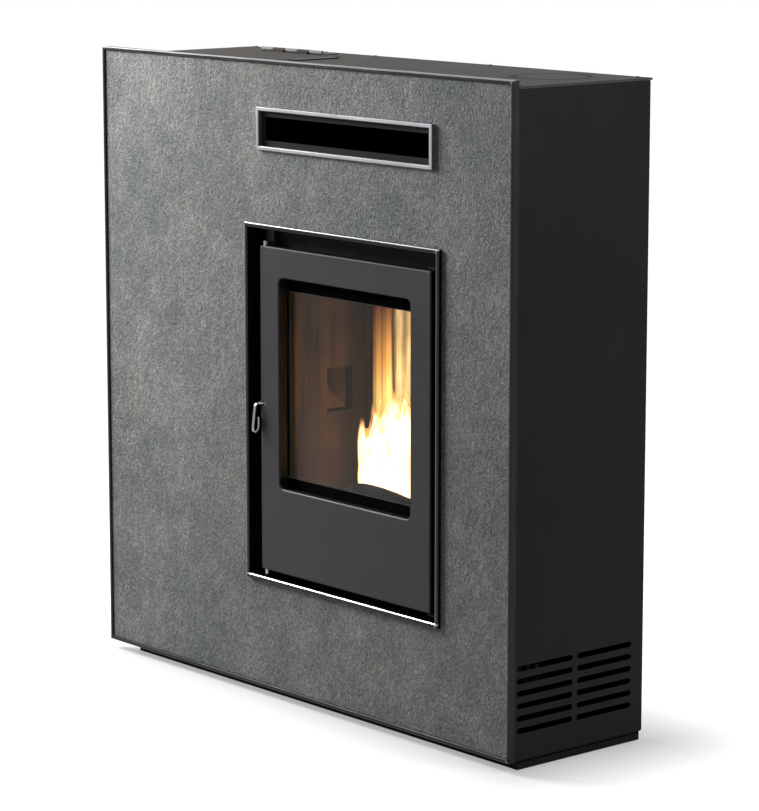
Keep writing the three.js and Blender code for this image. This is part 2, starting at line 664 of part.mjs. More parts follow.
function doorPlate() {
  const plate = alongY(withHoles(doorEdge(0, 2.5), windowEdge(0, WINDOW_RADIUS)), DOOR_FRONT,
    DOOR_THICK, DOOR_BEVEL);
  const bore = rod(point(LATCH.x, LATCH.y, DOOR_BOTTOM - 1), point(LATCH.x, LATCH.y, DOOR_TOP + 1),
    LATCH_RADIUS + 0.4);
  const slot = block(DOOR_LEFT - 1, LATCH.x + LATCH_RADIUS + 0.4, DOOR_FRONT - 1,
    LATCH.y + LATCH_RADIUS + 0.4, HANDLE_Z - HANDLE_RADIUS - 1, HANDLE_Z + HANDLE_RADIUS + 1);
  const sockets = [DOOR_BOTTOM, DOOR_TOP - PIN_DEPTH - 2].map((z, i) =>
    rod(point(HINGE.x, HINGE.y, z - 1 + i), point(HINGE.x, HINGE.y, z + PIN_DEPTH + 2 + i),
      PIN_RADIUS + 0.4, 16));
  return cut(plate, bore, slot, ...sockets);
}

function latchRod() {
  const shaft = rod(point(LATCH.x, LATCH.y, DOOR_BOTTOM - LATCH_REACH),
    point(LATCH.x, LATCH.y, DOOR_TOP + LATCH_REACH), LATCH_RADIUS, 18);
  const nose = alongZ(rectangle(LATCH.x - LATCH_RADIUS, LATCH.y, LATCH.x + LATCH_RADIUS,
    LATCH.y + NOSE_REACH, 2.4), DOOR_TOP + 2.5, NOSE_THICK);
  return join(shaft, nose);
}

// A round bar bent out of the door's edge, down in front of it and back up as a hairpin.
function latchHandle() {
  const front = DOOR_FRONT - 9;
  const edge = DOOR_LEFT - 3;
  const low = HANDLE_Z - HANDLE_DROP;
  const path = new THREE.CatmullRomCurve3([
    point(LATCH.x - LATCH_RADIUS - GAP, LATCH.y - 2, HANDLE_Z), point(edge, DOOR_FRONT - 1, HANDLE_Z),
    point(edge - 1, front + 2, HANDLE_Z - 4), point(edge, front - 1, HANDLE_Z - 14),
    point(edge, front - 4, low + 6), point(edge + 1, front - 2, low),
    point(edge + 2, front + 3, low + 2), point(edge + 2, front + 5, low + 10),
    point(edge + 2, front + 5, low + 24),
  ], false, 'catmullrom', 0.35);
  const bar = new THREE.ExtrudeGeometry(circle(0, 0, HANDLE_RADIUS),
    { steps: 26, extrudePath: path, curveSegments: 1, bevelEnabled: false });
  const collar = rod(point(LATCH.x - LATCH_RADIUS - GAP, LATCH.y - 2, HANDLE_Z),
    point(edge + 2, DOOR_FRONT, HANDLE_Z), HANDLE_RADIUS, 10);
  return join(bar, collar);
}

function hingeBracket(top) {
  const wall = OPENING_RIGHT - GAP;
  const plateZ = top ? DOOR_TOP + 2.5 : DOOR_BOTTOM - 2.5 - BRACKET;
  const end = top ? OPENING_TOP - GAP : OPENING_BOTTOM + GAP;
  const tab = block(wall - BRACKET, wall, HINGE.y - 6, HINGE.y + 8, Math.min(plateZ, end),
    Math.max(plateZ + BRACKET, end));
  const arm = block(HINGE.x - 6, wall - 0.5, HINGE.y - 6, HINGE.y + 6, plateZ, plateZ + BRACKET);
  const tip = top ? DOOR_TOP - PIN_DEPTH : DOOR_BOTTOM + PIN_DEPTH;
  const pin = rod(point(HINGE.x, HINGE.y, tip), point(HINGE.x, HINGE.y, plateZ + BRACKET / 2),
    PIN_RADIUS, 16);
  return join(tab, arm, pin);
}

const glassEdge = (grow) => windowEdge(GLASS_LAP + grow, WINDOW_RADIUS);
add('door_plate', doorPlate(), GRAPHITE);
add('door_inner_frame', alongY(withHoles(doorEdge(-3, 3), glassEdge(GAP)), INNER_FRONT,
  INNER_FRAME), GRAPHITE);
add('glass_gasket', alongY(withHoles(glassEdge(-0.4), windowEdge(2, WINDOW_RADIUS)), INNER_FRONT,
  1.5), ROPE_GREY);
add('door_glass', alongY(glassEdge(-0.2), INNER_FRONT + 1.5 + GAP, GLASS_THICK), GLASS);
add('glass_retainer', alongY(withHoles(windowEdge(GLASS_LAP + 9, 12), windowEdge(0, WINDOW_RADIUS)),
  INNER_BACK + GAP, RETAINER_THICK), ZINC);
add('door_rope_seal', ropeSeal(), ROPE_GREY);
add('latch_rod', latchRod(), POLISHED);
add('latch_handle', latchHandle(), POLISHED);
add('door_hinge_upper', hingeBracket(true), BLACK_PAINT);
add('door_hinge_lower', hingeBracket(false), BLACK_PAINT);

function ropeSeal() {
  const front = INNER_BACK + GAP;
  const back = FIREBOX_FRONT - GAP;
  const r = 1.6;
  const section = [
    [r, front], [0, front + r], [0, back - r], [r, back], [ROPE - r, back], [ROPE, back - r],
    [ROPE, front + r], [ROPE - r, front],
  ];
  return mitredFrame(DOOR_LEFT + 4, DOOR_BOTTOM + 4, DOOR_RIGHT - 4, DOOR_TOP - 4, section);
}

// ---------------------------------------------------------------- firebox
const SHELL_LEFT = FIREBOX_LEFT - FIREBOX_WALL;
const SHELL_RIGHT = FIREBOX_RIGHT + FIREBOX_WALL;
const SHELL_BOTTOM = FIREBOX_BOTTOM - FIREBOX_WALL;
const SHELL_TOP = FIREBOX_TOP + FIREBOX_WALL;
const LINING_FRONT = FIREBOX_FRONT + 5;
const BACK_INNER = FIREBOX_BACK - FIREBOX_WALL;
const POT = { x: DOOR_X + 8, y: 134 };
const augerAxis = new THREE.Vector3().subVectors(AUGER_HIGH, AUGER_LOW).normalize();
const augerDown = new THREE.Vector3(augerAxis.z, 0, -augerAxis.x);
const CHUTE_HALF = 27;
const CHUTE_WALL = 2;
const chuteHeel = AUGER_HIGH.clone().addScaledVector(augerDown, AUGER_RADIUS - CHUTE_WALL / 2)
  .addScaledVector(augerAxis, -48);
const chuteToe = AUGER_HIGH.clone().addScaledVector(augerDown, AUGER_RADIUS - CHUTE_WALL / 2);
const CHUTE_DROP = 50;

function fireboxShell() {
  const body = block(SHELL_LEFT, SHELL_RIGHT, FIREBOX_FRONT, FIREBOX_BACK, SHELL_BOTTOM, SHELL_TOP);
  const flange = block(OPENING_LEFT - FLANGE_LAP, OPENING_RIGHT + FLANGE_LAP, FIREBOX_FRONT,
    FIREBOX_FRONT + FIREBOX_WALL, OPENING_BOTTOM - FLANGE_LAP, OPENING_TOP + FLANGE_LAP);
  const inside = block(FIREBOX_LEFT, FIREBOX_RIGHT, FIREBOX_FRONT - 1, BACK_INNER,
    FIREBOX_BOTTOM, FIREBOX_TOP);
  const chuteMouth = block(SHELL_LEFT - 1, FIREBOX_LEFT + 1, AUGER_Y - CHUTE_HALF + CHUTE_WALL,
    AUGER_Y + CHUTE_HALF - CHUTE_WALL, chuteToe.z - CHUTE_DROP - 20, chuteToe.z - CHUTE_WALL);
  const smokePort = rod(point(FIREBOX_RIGHT - 1, FAN_Y, FAN_Z), point(SHELL_RIGHT + 1, FAN_Y, FAN_Z),
    SMOKE_DUCT - 2, 24);
  const airPort = alongZ(circle(AIR_X, HOSE_Y, AIR_RADIUS - 2), SHELL_BOTTOM - 1,
    FIREBOX_WALL + 2);
  return cut(join(body, flange), inside, chuteMouth, smokePort, airPort);
}

// Cast back panel: its front is fluted from side to side.
function backPanel() {
  const left = FIREBOX_LEFT + GAP;
  const right = FIREBOX_RIGHT - GAP;
  const back = BACK_INNER - GAP;
  const pitch = (right - left) / RIB_COUNT;
  const shape = new THREE.Shape().moveTo(left, back).lineTo(left, back - LINING);
  for (let i = 0; i < RIB_COUNT; i += 1) {
    const x = left + i * pitch;
    shape.lineTo(x + pitch * 0.2, back - LINING - RIB_DEPTH);
    shape.lineTo(x + pitch * 0.55, back - LINING - RIB_DEPTH);
    shape.lineTo(x + pitch * 0.75, back - LINING);
    shape.lineTo(x + pitch, back - LINING);
  }
  shape.lineTo(right, back);
  return alongZ(shape, ASH_SHELF + GAP, LINING_TOP - ASH_SHELF);
}

function sideLining(left) {
  const x = left ? FIREBOX_LEFT + GAP : FIREBOX_RIGHT - GAP - LINING;
  const back = BACK_INNER - LINING - RIB_DEPTH - 2 * GAP;
  const plate = alongX(rectangle(LINING_FRONT, ASH_SHELF + GAP, back, LINING_TOP + GAP, 2), x,
    LINING, 1);
  if (left) {
    return cut(plate, block(x - 1, x + LINING + 1, AUGER_Y - CHUTE_HALF, AUGER_Y + CHUTE_HALF,
      chuteToe.z - CHUTE_DROP - 22, chuteToe.z));
  }
  return cut(plate, rod(point(x - 1, FAN_Y, LINING_TOP - 60), point(x + LINING + 1, FAN_Y,
    LINING_TOP - 60), 24, 20));
}

// Hearth plate: a bridge over the ash pan with a window for the burn pot.
function hearthPlate() {
  const left = FIREBOX_LEFT + 2 * GAP;
  const right = FIREBOX_RIGHT - 2 * GAP;
  const foot = FIREBOX_BOTTOM + GAP;
  const shape = outline([
    [left, foot], [left + 3, foot], [left + 3, ASH_SHELF - 4], [right - 3, ASH_SHELF - 4],
    [right - 3, foot], [right, foot], [right, ASH_SHELF], [left, ASH_SHELF],
  ]);
  const bridge = alongY(shape, LINING_FRONT, BACK_INNER - GAP - LINING_FRONT);
  const well = alongZ(rectangle(POT.x - POT_WIDTH / 2, POT.y - POT_DEPTH / 2,
    POT.x + POT_WIDTH / 2, POT.y + POT_DEPTH / 2), ASH_SHELF - 10, 20);
  const port = block(right - 4, right + 1, FAN_Y - 30, FAN_Y + 30, FAN_Z - 32, ASH_SHELF - 6);
  return cut(bridge, well, port);
}

function burnPot() {
  const half = [POT_WIDTH / 2 - 1, POT_DEPTH / 2 - 1];
  const ring = (inset, z) => ringAt(POT.x - half[0] + inset, POT.x + half[0] - inset,
    POT.y - half[1] + inset, POT.y + half[1] - inset, z);
  const cup = loft([ring(14, ASH_SHELF - POT_SINK), ring(0, ASH_SHELF - 2), ring(0, ASH_SHELF + 16)]);
  const hollow = loft([ring(18, ASH_SHELF - POT_SINK + 4), ring(4, ASH_SHELF - 2),
    ring(4, ASH_SHELF + 18)]);
  const rim = alongZ(rectangle(POT.x - half[0] - 8, POT.y - half[1] - 8, POT.x + half[0] + 8,
    POT.y + half[1] + 8, 8), ASH_SHELF + GAP, 4);
  const holes = [];
  for (let i = -2; i <= 2; i += 1) {
    for (let j = -1; j <= 1; j += 1) {
      holes.push(alongZ(circle(POT.x + i * 14, POT.y + j * 14, 3), ASH_SHELF - POT_SINK - 2, 10,
        0, 1));
    }
  }
  return cut(join(cup, rim), hollow, ...holes);
}

// Fire guard: a curved fence in front of the pot whose top edge is an arch.
function fireGuard() {
  const sweep = GUARD_SWEEP / 2;
  const middle = GUARD_Y + GUARD_RADIUS;
  const plan = new THREE.Shape();
  plan.absarc(GUARD_X, middle, GUARD_RADIUS, -Math.PI / 2 - sweep, -Math.PI / 2 + sweep);
  plan.absarc(GUARD_X, middle, GUARD_RADIUS - 4, -Math.PI / 2 + sweep, -Math.PI / 2 - sweep, true);
  const fence = alongZ(plan, ASH_SHELF + GAP, GUARD_HEIGHT, 0, 6);
  const reach = GUARD_RADIUS + 10;
  const arch = alongY(circle(GUARD_X, ASH_SHELF + GUARD_HEIGHT - GUARD_ARCH, GUARD_ARCH),
    GUARD_Y - 5, reach, 0, 6);
  const low = block(GUARD_X - reach, GUARD_X + reach, GUARD_Y - 5, GUARD_Y + reach, ASH_SHELF,
    ASH_SHELF + GUARD_HEIGHT * 0.6);
  return fromSolid(solid(fence).intersect(solid(arch).add(solid(low))));
}

function ashPan() {
  const left = FIREBOX_LEFT + 8;
  const right = AIR_X - AIR_RADIUS - 4;
  const box = block(left, right, LINING_FRONT + 8, BACK_INNER - 20, FIREBOX_BOTTOM + GAP, PAN_TOP);
  const hollow = block(left + 1.5, right - 1.5, LINING_FRONT + 9.5, BACK_INNER - 21.5,
    FIREBOX_BOTTOM + GAP + 1.5, PAN_TOP + 1);
  const grip = alongZ(withHoles(rectangle(DOOR_X - 40, LINING_FRONT, DOOR_X + 40,
    LINING_FRONT + 9, 3), rectangle(DOOR_X - 37, LINING_FRONT + 3, DOOR_X + 37,
    LINING_FRONT + 8, 1)), PAN_TOP - 16, 4);
  return join(cut(box, hollow), grip);
}

function igniter() {
  const at = (y) => point(POT.x, y, ASH_SHELF - IGNITER_DROP);
  const pencil = rod(at(POT.y + POT_DEPTH / 2 + 1), at(BACK_INNER - 1), 6, 16);
  const collar = rod(at(BACK_INNER - 4), at(BACK_INNER - GAP), 11, 16);
  return join(pencil, collar);
}

// A channel with its web at x and its flanges to the right.
function fireboxStand(x) {
  const foot = FLOOR_TOP + GAP;
  const head = SHELL_BOTTOM - GAP;
  const toe = x + STAND_FLANGE;
  const web = x + STAND_SHEET;
  const section = outline([
    [x, foot], [toe, foot], [toe, foot + STAND_SHEET], [web, foot + STAND_SHEET],
    [web, head - STAND_SHEET], [toe, head - STAND_SHEET], [toe, head], [x, head],
  ]);
  const front = FIREBOX_FRONT + 8;
  const channel = alongY(section, front, STAND_DEPTH);
  return cut(channel, alongX(circle(front + STAND_DEPTH / 2, (foot + head) / 2, STAND_HOLE), x - 1,
    STAND_SHEET + 2, 0, 3));
}

add('firebox_shell', fireboxShell(), CAST);
add('firebox_stand_left', fireboxStand(SHELL_LEFT + 4), ZINC);
add('firebox_stand_right', fireboxStand(SHELL_RIGHT - 30), ZINC);
add('firebox_back_panel', backPanel(), VERMICULITE);
add('firebox_lining_left', sideLining(true), VERMICULITE);
add('firebox_lining_right', sideLining(false), VERMICULITE);
add('baffle_plate', block(FIREBOX_LEFT + LINING + 2 * GAP, FIREBOX_RIGHT - LINING - 2 * GAP,
  LINING_FRONT + 20, BACK_INNER - LINING - RIB_DEPTH - 2 * GAP, LINING_TOP - 14, LINING_TOP - 4),
  VERMICULITE);
add('hearth_plate', hearthPlate(), CAST);
add('burn_pot', burnPot(), CAST);
add('fire_guard', fireGuard(), CAST);
add('ash_pan', ashPan(), ZINC);
add('igniter', igniter(), ZINC);

// ---------------------------------------------------------------- pellet hopper
const HOPPER_TOP = TOP_Z - SHEET - GAP;
const RIM_Z = HOPPER_TOP - GASKET - LID_THICK + LID_PROUD + SHEET - 0.6;
const lidEdge = (grow, radius) => rectangle(LID_LEFT - grow, LID_FRONT - grow, LID_RIGHT + grow,
  LID_BACK + grow, radius);

function hopperBin() {
  const bin = (inset) => {
    const throat = THROAT / 2 + HOPPER_SHEET - inset;
    const body = (z) => ringAt(HOPPER_LEFT + inset, HOPPER_RIGHT - inset, HOPPER_FRONT + inset,
      HOPPER_BACK - inset, z);
    const foot = (z) => ringAt(THROAT_X - throat, THROAT_X + throat, AUGER_Y - throat,
      AUGER_Y + throat, z);
    const ends = inset > 0 ? [HOPPER_FOOT - 1, RIM_Z - HOPPER_SHEET] : [HOPPER_FOOT, HOPPER_TOP];
    return loft([foot(ends[0]), foot(HOPPER_FOOT + 6), body(HOPPER_KNEE), body(ends[1])]);
  };
  const above = block(HOPPER_LEFT + HOPPER_SHEET, HOPPER_RIGHT - HOPPER_SHEET,
    HOPPER_FRONT + HOPPER_SHEET, HOPPER_BACK - HOPPER_SHEET, RIM_Z, HOPPER_TOP + 1);
  const mouth = alongZ(lidEdge(-GASKET_WIDTH - 1, LID_RADIUS), RIM_Z - 20, 40);
  return cut(bin(0), bin(HOPPER_SHEET), above, mouth);
}

function hopperLid() {
  const plate = alongZ(lidEdge(0, LID_RADIUS), TOP_Z + LID_PROUD - LID_THICK, LID_THICK, 0.5);
  const webs = knuckles(1).map(([x0, x1]) => join(
    rod(point(x0, LID_AXIS.y, LID_AXIS.z), point(x1, LID_AXIS.y, LID_AXIS.z), KNUCKLE, 18),
    block(x0, x1, LID_BACK - 6, LID_BACK, TOP_Z - 1, LID_AXIS.z)));
  const bore = rod(point(LID_LEFT, LID_AXIS.y, LID_AXIS.z), point(LID_RIGHT, LID_AXIS.y,
    LID_AXIS.z), PIVOT + GAP, 16);
  return cut(join(plate, ...webs), bore);
}

// The hinge barrel is split into five, the odd ones on the fixed leaf.
function knuckles(first) {
  const middle = (LID_LEFT + LID_RIGHT) / 2;
  const each = LEAF_WIDTH / 5;
  const spans = [];
  for (let i = first; i < 5; i += 2) {
    const x0 = middle - LEAF_WIDTH / 2 + i * each;
    spans.push([x0 + GAP, x0 + each - GAP]);
  }
  return spans;
}

function lidHingeLeaf() {
  const middle = (LID_LEFT + LID_RIGHT) / 2;
  const leaf = alongZ(rectangle(middle - LEAF_WIDTH / 2, LID_AXIS.y + 0.5, middle + LEAF_WIDTH / 2,
    LID_AXIS.y + LEAF_DEPTH, 3), TOP_Z + GAP, 1.6, 0.3);
  const cutBack = knuckles(1).map(([x0, x1]) => block(x0 - GAP, x1 + GAP, LID_AXIS.y,
    LID_AXIS.y + KNUCKLE + 1, TOP_Z, TOP_Z + 3));
  const barrel = knuckles(0).map(([x0, x1]) => join(
    rod(point(x0, LID_AXIS.y, LID_AXIS.z), point(x1, LID_AXIS.y, LID_AXIS.z), KNUCKLE, 18),
    block(x0, x1, LID_AXIS.y + 0.5, LID_AXIS.y + KNUCKLE + 1.5, TOP_Z + GAP, LID_AXIS.z)));
  const pin = rod(point(middle - LEAF_WIDTH / 2 + 1, LID_AXIS.y, LID_AXIS.z),
    point(middle + LEAF_WIDTH / 2 - 1, LID_AXIS.y, LID_AXIS.z), PIVOT, 16);
  return join(cut(leaf, ...cutBack), ...barrel, pin);
}

function hopperGrid() {
  const x0 = HOPPER_LEFT + HOPPER_SHEET + GAP;
  const x1 = HOPPER_RIGHT - HOPPER_SHEET - GAP;
  const y0 = HOPPER_FRONT + HOPPER_SHEET + GAP;
  const y1 = HOPPER_BACK - HOPPER_SHEET - GAP;
  const frame = alongZ(withHoles(rectangle(x0, y0, x1, y1), rectangle(x0 + 4, y0 + 4, x1 - 4,
    y1 - 4)), GRID_Z, 4);
  const bars = [];
  const count = Math.floor((x1 - x0) / GRID_PITCH);
  for (let i = 1; i < count; i += 1) {
    const x = x0 + (i * (x1 - x0)) / count;
    bars.push(block(x - 1.5, x + 1.5, y0 + 2, y1 - 2, GRID_Z + 0.5, GRID_Z + 3.5));
  }
  return join(frame, ...bars);
}

add('hopper_bin', hopperBin(), ZINC);
add('hopper_lid', hopperLid(), BROWN_PAINT);
add('lid_hinge_leaf', lidHingeLeaf(), SATIN);
add('lid_gasket', alongZ(withHoles(lidEdge(-2, LID_RADIUS), lidEdge(-GASKET_WIDTH, LID_RADIUS)),
  RIM_Z + GAP, TOP_Z + LID_PROUD - LID_THICK - RIM_Z - 2 * GAP, 0.6), ROPE_GREY);
add('hopper_grid', hopperGrid(), ZINC);

// ---------------------------------------------------------------- pellet feed
const alongAuger = (distance) => AUGER_LOW.clone().addScaledVector(augerAxis, distance);
const augerLength = AUGER_LOW.distanceTo(AUGER_HIGH);

function augerTube() {
  const tube = rod(AUGER_LOW, AUGER_HIGH, AUGER_RADIUS, 24);
  const collarFoot = AUGER_LOW.z + (THROAT_X - AUGER_LOW.x) * (augerAxis.z / augerAxis.x);
  const half = THROAT / 2;
  const collar = block(THROAT_X - half - 2, THROAT_X + half + 2, AUGER_Y - half - 2,
    AUGER_Y + half + 2, collarFoot, HOPPER_FOOT - GAP);
  const bore = rod(alongAuger(AUGER_WALL), alongAuger(augerLength - AUGER_WALL),
    AUGER_RADIUS - AUGER_WALL, 24);
  const drop = block(THROAT_X - half, THROAT_X + half, AUGER_Y - half, AUGER_Y + half,
    collarFoot, HOPPER_FOOT + 1);
  const shaftHole = rod(alongAuger(-1), alongAuger(AUGER_WALL + 1), AUGER_SHAFT + GAP, 20);
  const [chute, chuteInside] = pelletChute();
  return cut(join(tube, collar, chute), bore, drop, shaftHole, chuteInside);
}

// A helical flight of constant pitch, wound on a straight shaft.
function augerScrew() {
  const outer = AUGER_RADIUS - AUGER_WALL - 1.5;
  const inner = AUGER_SHAFT - 1;
  const start = AUGER_WALL + 4;
  const reach = augerLength - 2 * AUGER_WALL - 12;
  const turns = reach / FLIGHT_PITCH;
  const steps = Math.round(turns * 10);
  const rings = [];
  for (let i = 0; i <= steps; i += 1) {
    const angle = (2 * Math.PI * turns * i) / steps;
    const z = start + (reach * i) / steps;
    const at = (radius, lift) => point(radius * Math.cos(angle), radius * Math.sin(angle),
      z + lift + FLIGHT_THICK / 2);
    const half = FLIGHT_THICK / 2;
    rings.push([at(inner, -half), at(inner, half), at(outer, half), at(outer, -half)]);
  }
  const shaft = rod(point(0, 0, 0), point(0, 0, augerLength - AUGER_WALL - GAP), AUGER_SHAFT, 20);
  const turn = new THREE.Quaternion().setFromUnitVectors(point(0, 0, 1), augerAxis);
  return join(shaft, loft(rings)).applyQuaternion(turn)
    .translate(AUGER_LOW.x, AUGER_LOW.y, AUGER_LOW.z);
}

function augerGearmotor() {
  const can = GEARBOX - 5;
  const profile = [
    [0, -GAP], [GEARBOX, -GAP], [GEARBOX, -GEARBOX_LENGTH], [can, -GEARBOX_LENGTH - 2],
    [can, -GEARMOTOR + 10], [can - 4, -GEARMOTOR + 6], [5, -GEARMOTOR + 6], [5, -GEARMOTOR],
    [0, -GEARMOTOR],
  ].map(([r, z]) => new THREE.Vector2(r, z)).reverse();
  const turn = new THREE.Quaternion().setFromUnitVectors(point(0, 1, 0), augerAxis);
  return new THREE.LatheGeometry(profile, 20).applyQuaternion(turn)
    .translate(AUGER_LOW.x, AUGER_LOW.y, AUGER_LOW.z);
}

// The chute from the tube's high end into the firebox, as its outside and its inside.
function pelletChute() {
  const wall = SHELL_LEFT - GAP;
  const low = chuteToe.z - CHUTE_DROP - 22;
  const w = CHUTE_WALL;
  const outer = outline([
    [chuteHeel.x, chuteHeel.z - 6], [wall, low], [wall, chuteToe.z],
    [chuteToe.x, chuteToe.z], [chuteHeel.x, chuteHeel.z],
  ]);
  const inner = outline([
    [chuteHeel.x + w, chuteHeel.z - 5], [wall - w, low + 1.5 * w], [wall + 1, low + 1.5 * w],
    [wall + 1, chuteToe.z - w], [chuteToe.x - w, chuteToe.z - w], [chuteToe.x - 2 * w,
      chuteToe.z + 8], [chuteHeel.x + w, chuteHeel.z + 8],
  ]);
  return [alongY(outer, AUGER_Y - CHUTE_HALF, 2 * CHUTE_HALF),
    alongY(inner, AUGER_Y - CHUTE_HALF + w, 2 * (CHUTE_HALF - w))];
}

add('auger_tube', augerTube(), ZINC);
add('auger_screw', augerScrew(), ZINC);
add('auger_gearmotor', augerGearmotor(), CAST);

// ---------------------------------------------------------------- room air
const DUCT_LEFT = OUTLET_LEFT - 2;
const DUCT_RIGHT = OUTLET_RIGHT + 2;
const DUCT_MOUTH = CARRIER_BACK + GAP;
const DUCT_WALL = 2;
const MOUTH_TOP = OUTLET_TOP + 4;
const MOUTH_BOTTOM = OUTLET_BOTTOM - 4;

function airDuct() {
  const w = DUCT_WALL;
  const outer = outline([
    [DUCT_FRONT, DUCT_BOTTOM], [DUCT_BACK, DUCT_BOTTOM], [DUCT_BACK, MOUTH_TOP - 40],
    [DUCT_BACK - 40, MOUTH_TOP], [DUCT_MOUTH, MOUTH_TOP], [DUCT_MOUTH, MOUTH_BOTTOM],
    [DUCT_FRONT - 25, MOUTH_BOTTOM], [DUCT_FRONT, MOUTH_BOTTOM - 25],
  ]);
  const inner = outline([
    [DUCT_FRONT + w, DUCT_BOTTOM - 1], [DUCT_BACK - w, DUCT_BOTTOM - 1],
    [DUCT_BACK - w, MOUTH_TOP - 40 - w / 2], [DUCT_BACK - 40 - w / 2, MOUTH_TOP - w],
    [DUCT_MOUTH - 1, MOUTH_TOP - w], [DUCT_MOUTH - 1, MOUTH_BOTTOM + w],
    [DUCT_FRONT - 25 + w / 2, MOUTH_BOTTOM + w], [DUCT_FRONT + w, MOUTH_BOTTOM - 25 + w / 2],
  ]);
  return cut(alongX(outer, DUCT_LEFT, DUCT_RIGHT - DUCT_LEFT),
    alongX(inner, DUCT_LEFT + w, DUCT_RIGHT - DUCT_LEFT - 2 * w));
}

function outletFrame() {
  const face = OUTLET_FRAME_FACE;
  const front = OUTLET_FRAME_FRONT;
  const back = DUCT_MOUTH + NOZZLE_REACH;
  const edge = OUTLET_TRIM_FACE + GAP;
  const section = [
    [0, front], [0, back], [DUCT_WALL, back], [DUCT_WALL, front + NOZZLE_SHEET],
    [face, front + NOZZLE_SHEET], [face, front],
  ];
  return mitredFrame(OUTLET_LEFT + edge, OUTLET_BOTTOM + edge, OUTLET_RIGHT - edge,
    OUTLET_TOP - edge, section);
}

const SCROLL_LEFT = BLOWER_X - BLOWER_LENGTH / 2;
const SCROLL_SHEET = 2;
const polar = (radius, degrees) => {
  const angle = THREE.MathUtils.degToRad(degrees);
  return [BLOWER_Y + radius * Math.cos(angle), BLOWER_Z + radius * Math.sin(angle)];
};

function scrollOutline(inset) {
  const start = BLOWER_RADIUS + SCROLL_CLEAR;
  const end = DUCT_BACK - BLOWER_Y;
  const points = [];
  for (let i = 0; i <= 12; i += 1) {
    points.push(polar(start + ((end - start) * i) / 12 - inset, -135 + (135 * i) / 12));
  }
  const top = DUCT_BOTTOM - GAP + (inset > 0 ? 1 : 0);
  points.push([DUCT_BACK - inset, top], [DUCT_FRONT + inset, top]);
  if (inset > 0) return outline([...points, polar(start, 36), polar(start + 60, 130)]);
  return outline([...points, polar(start, 40)]);
}

function blowerHousing() {
  const length = BLOWER_LENGTH;
  const shell = alongX(scrollOutline(0), SCROLL_LEFT, length);
  const inside = alongX(scrollOutline(SCROLL_SHEET), SCROLL_LEFT + SCROLL_SHEET,
    length - 2 * SCROLL_SHEET);
  const cheek = (x) => alongX(circle(BLOWER_Y, BLOWER_Z, BLOWER_RADIUS + SCROLL_CLEAR + 3), x,
    SCROLL_SHEET, 0, 4);
  const foot = (x) => block(x, x + 20, BLOWER_Y - 20, BLOWER_Y + 30, FLOOR_TOP + GAP,
    FLOOR_TOP + GAP + 2);
  const leg = (x) => block(x, x + SCROLL_SHEET, BLOWER_Y - 20, BLOWER_Y + 30, FLOOR_TOP + GAP,
    BLOWER_Z - BLOWER_RADIUS);
  const last = SCROLL_LEFT + length - SCROLL_SHEET;
  const bore = rod(point(SCROLL_LEFT - 1, BLOWER_Y, BLOWER_Z), point(last + 3, BLOWER_Y, BLOWER_Z),
    BLOWER_SHAFT + GAP, 16);
  return cut(join(cut(shell, inside), cheek(SCROLL_LEFT), cheek(last), leg(SCROLL_LEFT),
    leg(last), foot(SCROLL_LEFT), foot(last + SCROLL_SHEET - 20)), bore);
}

// Cross-flow runner: forward-curved blades between three discs, on a through shaft.
function blowerRunner() {
  const x0 = SCROLL_LEFT + SCROLL_SHEET + 3;
  const x1 = SCROLL_LEFT + BLOWER_LENGTH - SCROLL_SHEET - 3;
  const disc = (x) => alongX(circle(0, 0, BLOWER_RADIUS), x, 2);
  const shaft = rod(point(SCROLL_LEFT - 4, 0, 0), point(x1 + 3, 0, 0), BLOWER_SHAFT, 16);
  const blades = [];
  for (let i = 0; i < BLOWER_BLADES; i += 1) {
    const blade = new THREE.Shape();
    blade.absarc(BLADE_CENTRE, 0, BLADE_CURVE, 1.9, 2.9, false);
    blade.absarc(BLADE_CENTRE, 0, BLADE_CURVE - 1.4, 2.9, 1.9, true);
    blades.push(alongX(blade, x0 + 1, x1 - x0 - 2)
      .rotateX((2 * Math.PI * i) / BLOWER_BLADES));
  }
  const runner = join(disc(x0), disc((x0 + x1) / 2), disc(x1 - 2), shaft, ...blades);
  return runner.translate(0, BLOWER_Y, BLOWER_Z);
}

function blowerMotor() {
  const end = SCROLL_LEFT - GAP;
  const at = (x) => point(x, BLOWER_Y, BLOWER_Z);
  const body = rod(at(end - BLOWER_MOTOR), at(end), BLOWER_MOTOR_RADIUS, 24);
  const half = BLOWER_MOTOR_RADIUS + 4;
  const core = block(end - BLOWER_MOTOR * 0.85, end - BLOWER_MOTOR * 0.3, BLOWER_Y - half,
    BLOWER_Y + half, BLOWER_Z - half, BLOWER_Z + half);
  const bore = rod(at(end - 8), at(end + 1), BLOWER_SHAFT + GAP, 16);
  return cut(join(body, core), bore);
}

add('outlet_frame', outletFrame(), GRAPHITE);
add('air_duct', airDuct(), ZINC);
add('blower_housing', blowerHousing(), ZINC);
add('blower_runner', blowerRunner(), ZINC);
add('blower_motor', blowerMotor(), CAST);

// ---------------------------------------------------------------- smoke and combustion air
const VOLUTE_LEFT = FLUE_X - FAN_WIDTH / 2 - 2;
const VOLUTE_WIDTH = FAN_WIDTH + 4;
const VOLUTE_END = FLUE_Y + 50;

